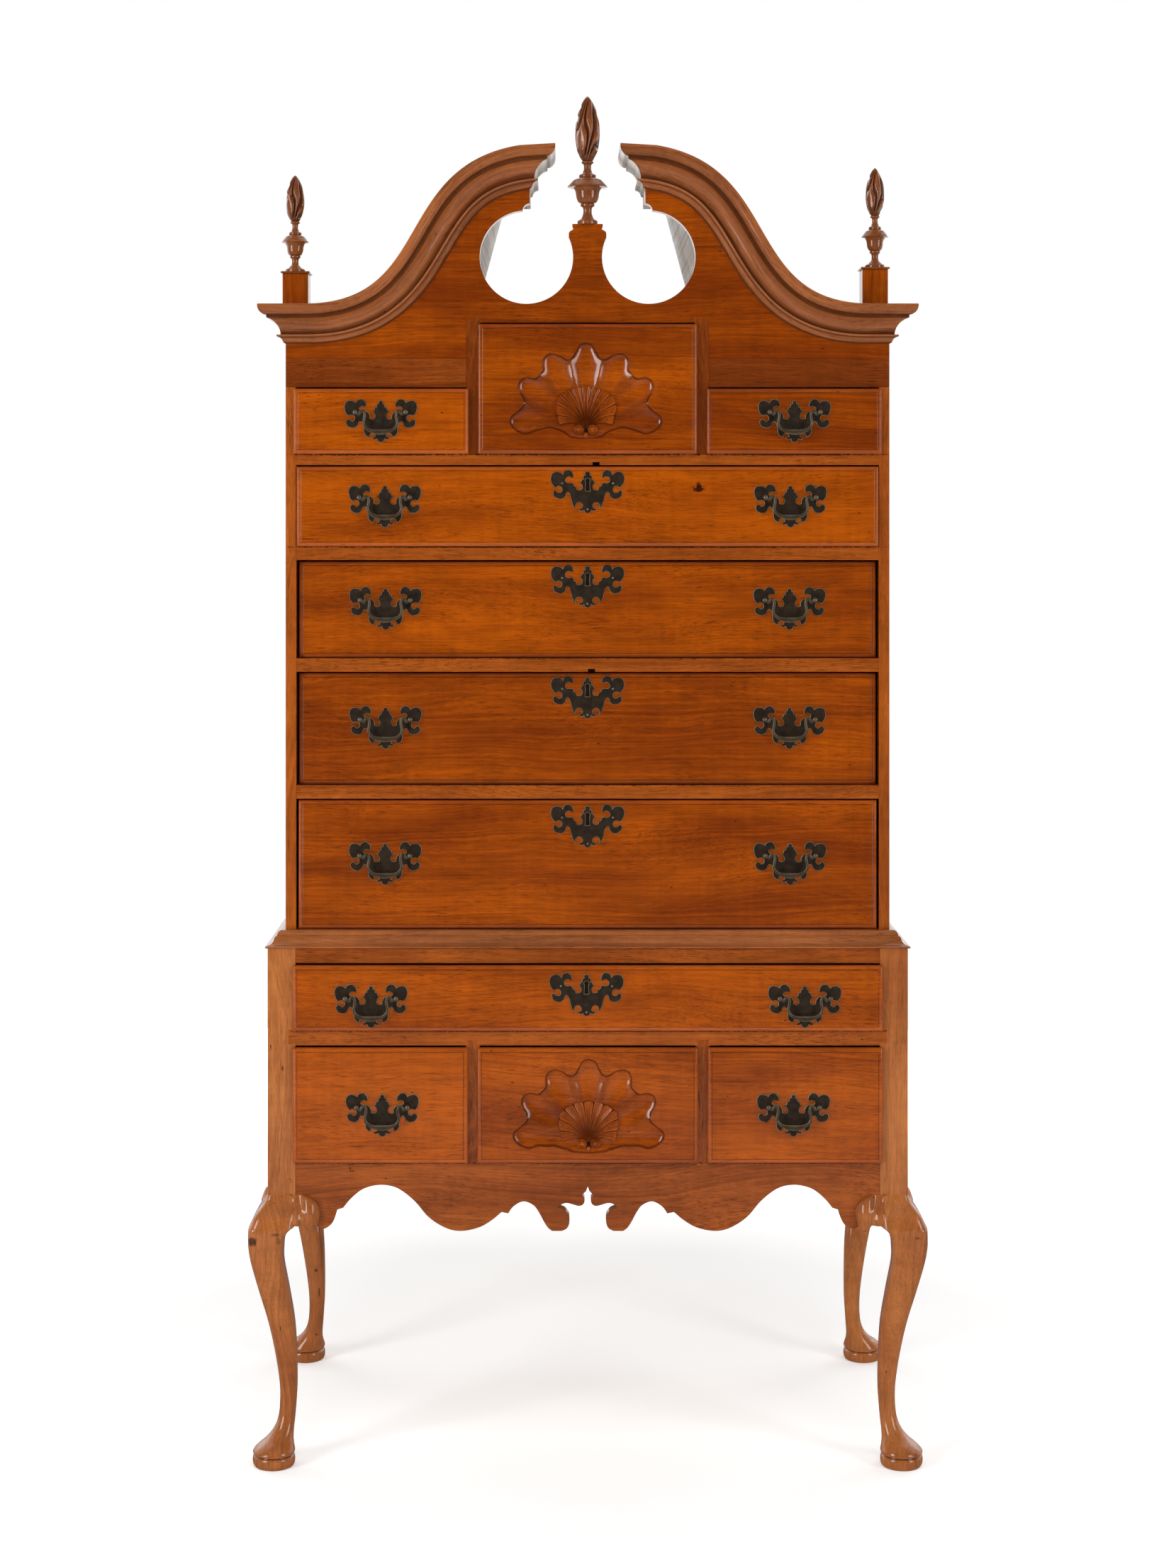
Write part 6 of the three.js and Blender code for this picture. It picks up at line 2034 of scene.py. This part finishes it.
# The camera that the photograph's perspective gives, with places in metres
CAMERA_PLACE = (-0.045, -4.054, 1.4145)
CAMERA_SHIFT = (0.0192, -0.1632)
SENSOR_WIDTH = 36

# The floor's reach, and the share of its light that shows in the varnish
FLOOR_REACH = 3.2
FLOOR_MIRRORED = 0.1

# The world is dark in front and bright behind, and lights the part less than it shows
ROOM_SHADE = 0.02
BACKDROP_SHADE = 1.15
BACKDROP_SPREAD = 0.6


def softbox(name, place, target, size, power, mirrored=True):
    """A soft area light, which may be kept out of reflections"""
    light = bpy.data.lights.new(name, "AREA")
    light.shape = "RECTANGLE"
    light.size, light.size_y = size
    light.energy = power
    lamp = bpy.data.objects.new(name, light)
    lamp.location = place
    lamp.rotation_euler = (Vector(target) - Vector(place)).to_track_quat("-Z", "Y").to_euler()
    lamp.visible_glossy = mirrored
    bpy.context.scene.collection.objects.link(lamp)


def build_stage(stage):
    scene = bpy.context.scene
    camera = bpy.data.cameras.new("photo_camera")
    camera.lens = stage.lens
    camera.sensor_width = SENSOR_WIDTH
    camera.sensor_fit = "AUTO"
    camera.shift_x, camera.shift_y = CAMERA_SHIFT
    holder = bpy.data.objects.new("photo_camera", camera)
    holder.location = CAMERA_PLACE
    holder.rotation_euler = (math.radians(90), 0, 0)
    scene.collection.objects.link(holder)
    scene.camera = holder
    ground = bmesh.new()
    bmesh.ops.create_circle(ground, cap_ends=True, segments=96, radius=FLOOR_REACH)
    mesh = bpy.data.meshes.new("floor")
    ground.to_mesh(mesh)
    ground.free()
    floor = bpy.data.objects.new("floor", mesh)
    mesh.materials.append(floor_material("floor_paint", stage.floor_tint))
    scene.collection.objects.link(floor)
    softbox("left_softbox", (-3.1, -2.7, 1.7), (0, 0, 1.1), (1.2, 2.8), stage.left_light)
    softbox("right_softbox", (3.1, -2.5, 1.7), (0, 0, 1.1), (1.1, 2.8), stage.right_light)
    softbox("top_softbox", (0.2, -2.6, 4.3), (0, 0, 0.9), (3.2, 2.0), stage.top_light, mirrored=False)
    softbox("rear_left_softbox", (-3.2, 2.9, 2.6), (0, 0, 1), (1.8, 2.2), stage.rear_light)
    softbox("rear_right_softbox", (3.2, 2.9, 2.6), (0, 0, 1), (1.8, 2.2), stage.rear_light)
    room = Graph(bpy.data.worlds.new("studio"), "Background")
    heading = room.node("ShaderNodeTexCoord", "Generated")
    backdrop = room.node("ShaderNodeMapRange", 0, {
        "Value": room.node("ShaderNodeSeparateXYZ", "Y", {0: heading}), "From Min": -0.1,
        "From Max": 0.25, "To Min": ROOM_SHADE, "To Max": BACKDROP_SHADE,
    }, interpolation_type="SMOOTHSTEP")
    rays = room.node("ShaderNodeLightPath", 0).node
    spread = room.between(rays.outputs["Is Diffuse Ray"], 0, 1, 1.0, BACKDROP_SPREAD)
    glow = room.math("MULTIPLY", backdrop, spread)
    seen = room.between(rays.outputs["Is Camera Ray"], 0, 1, glow, 1.0)
    scene.world = room.finish({"Color": (1, 1, 1, 1), "Strength": seen})
    scene.view_settings.view_transform = "Standard"
    scene.view_settings.look = "None"


# Operators

class HIGHBOY_OT_finishes(Operator):
    """Mixes the wood and brass finishes from the settings' colours"""
    bl_idname = "highboy.finishes"
    bl_label = "Finishes"

    def execute(self, context):
        mix_finishes(context.scene.highboy.woods)
        return {"FINISHED"}


class HIGHBOY_OT_lower_case(Operator):
    """Builds the lower case's apron, sides, back, rails and runners"""
    bl_idname = "highboy.lower_case"
    bl_label = "Lower case"

    def execute(self, context):
        build_lower_boards()
        build_lower_rails()
        return {"FINISHED"}


class HIGHBOY_OT_legs(Operator):
    """Shapes the four cabriole legs and their knee blocks"""
    bl_idname = "highboy.legs"
    bl_label = "Legs"

    def execute(self, context):
        build_legs()
        return {"FINISHED"}


class HIGHBOY_OT_waist_moulding(Operator):
    """Runs the moulding round the upper case's foot"""
    bl_idname = "highboy.waist_moulding"
    bl_label = "Waist moulding"

    def execute(self, context):
        build_waist_moulding()
        return {"FINISHED"}


class HIGHBOY_OT_upper_case(Operator):
    """Builds the upper case's sides, blades, dust boards and dividers"""
    bl_idname = "highboy.upper_case"
    bl_label = "Upper case"

    def execute(self, context):
        build_upper_sides()
        build_blades()
        build_dividers()
        return {"FINISHED"}


class HIGHBOY_OT_pediment(Operator):
    """Saws the scroll board and runs the cornices round and over it"""
    bl_idname = "highboy.pediment"
    bl_label = "Pediment"

    def execute(self, context):
        build_scroll_board()
        build_cornices()
        return {"FINISHED"}


class HIGHBOY_OT_bonnet(Operator):
    """Covers the top with the bonnet's roofs, walls and gables"""
    bl_idname = "highboy.bonnet"
    bl_label = "Bonnet"

    def execute(self, context):
        build_bonnet()
        return {"FINISHED"}


class HIGHBOY_OT_finials(Operator):
    """Turns and carves the three flame finials and sets the side ones on blocks"""
    bl_idname = "highboy.finials"
    bl_label = "Finials"

    def execute(self, context):
        build_finials(context.scene.highboy.sizes)
        return {"FINISHED"}


class HIGHBOY_OT_drawers(Operator):
    """Builds the eleven drawers"""
    bl_idname = "highboy.drawers"
    bl_label = "Drawers"

    def execute(self, context):
        build_drawers(context.scene.highboy.sizes)
        return {"FINISHED"}


class HIGHBOY_OT_shells(Operator):
    """Carves the fans, eyes and leaves inside the two shells"""
    bl_idname = "highboy.shells"
    bl_label = "Shells"

    def execute(self, context):
        build_shells(context.scene.highboy.sizes)
        return {"FINISHED"}


class HIGHBOY_OT_pulls(Operator):
    """Fits the fourteen bail pulls"""
    bl_idname = "highboy.pulls"
    bl_label = "Bail pulls"

    def execute(self, context):
        build_pulls(context.scene.highboy.sizes)
        return {"FINISHED"}


class HIGHBOY_OT_escutcheons(Operator):
    """Fits the escutcheons and the locks behind them"""
    bl_idname = "highboy.escutcheons"
    bl_label = "Escutcheons and locks"

    def execute(self, context):
        build_escutcheons(context.scene.highboy.sizes)
        return {"FINISHED"}


class HIGHBOY_OT_pegs(Operator):
    """Drives the oak pins into the posts"""
    bl_idname = "highboy.pegs"
    bl_label = "Pegs"

    def execute(self, context):
        build_pegs(context.scene.highboy.sizes)
        return {"FINISHED"}


class HIGHBOY_OT_stage(Operator):
    """Sets up the camera, the pale floor and the soft lights"""
    bl_idname = "highboy.stage"
    bl_label = "Stage"

    def execute(self, context):
        build_stage(context.scene.highboy.stage)
        return {"FINISHED"}


STEPS = (
    HIGHBOY_OT_finishes, HIGHBOY_OT_lower_case, HIGHBOY_OT_legs, HIGHBOY_OT_waist_moulding,
    HIGHBOY_OT_upper_case, HIGHBOY_OT_pediment, HIGHBOY_OT_bonnet, HIGHBOY_OT_finials,
    HIGHBOY_OT_drawers, HIGHBOY_OT_shells, HIGHBOY_OT_pulls, HIGHBOY_OT_escutcheons,
    HIGHBOY_OT_pegs, HIGHBOY_OT_stage,
)


class HIGHBOY_PT_steps(Panel):
    """Lists the settings and the steps in the order in which they are built"""
    bl_idname = "HIGHBOY_PT_steps"
    bl_label = "Highboy"
    bl_space_type = "VIEW_3D"
    bl_region_type = "UI"
    bl_category = "Highboy"

    def draw(self, context):
        settings = context.scene.highboy
        for group in (settings.woods, settings.sizes, settings.stage):
            box = self.layout.box()
            for name in group.__annotations__:
                box.prop(group, name)
        for step in STEPS:
            self.layout.operator(step.bl_idname)


CLASSES = (HighboyWoods, HighboySizes, HighboyStage, HighboySettings, *STEPS, HIGHBOY_PT_steps)


def register():
    for each in CLASSES:
        bpy.utils.register_class(each)
    bpy.types.Scene.highboy = PointerProperty(type=HighboySettings)


def unregister():
    del bpy.types.Scene.highboy
    for each in reversed(CLASSES):
        bpy.utils.unregister_class(each)


def main():
    """Builds every piece in order"""
    register()
    for step in STEPS:
        getattr(bpy.ops.highboy, step.bl_idname.split(".")[1])()


if __name__ == "__main__":
    main()
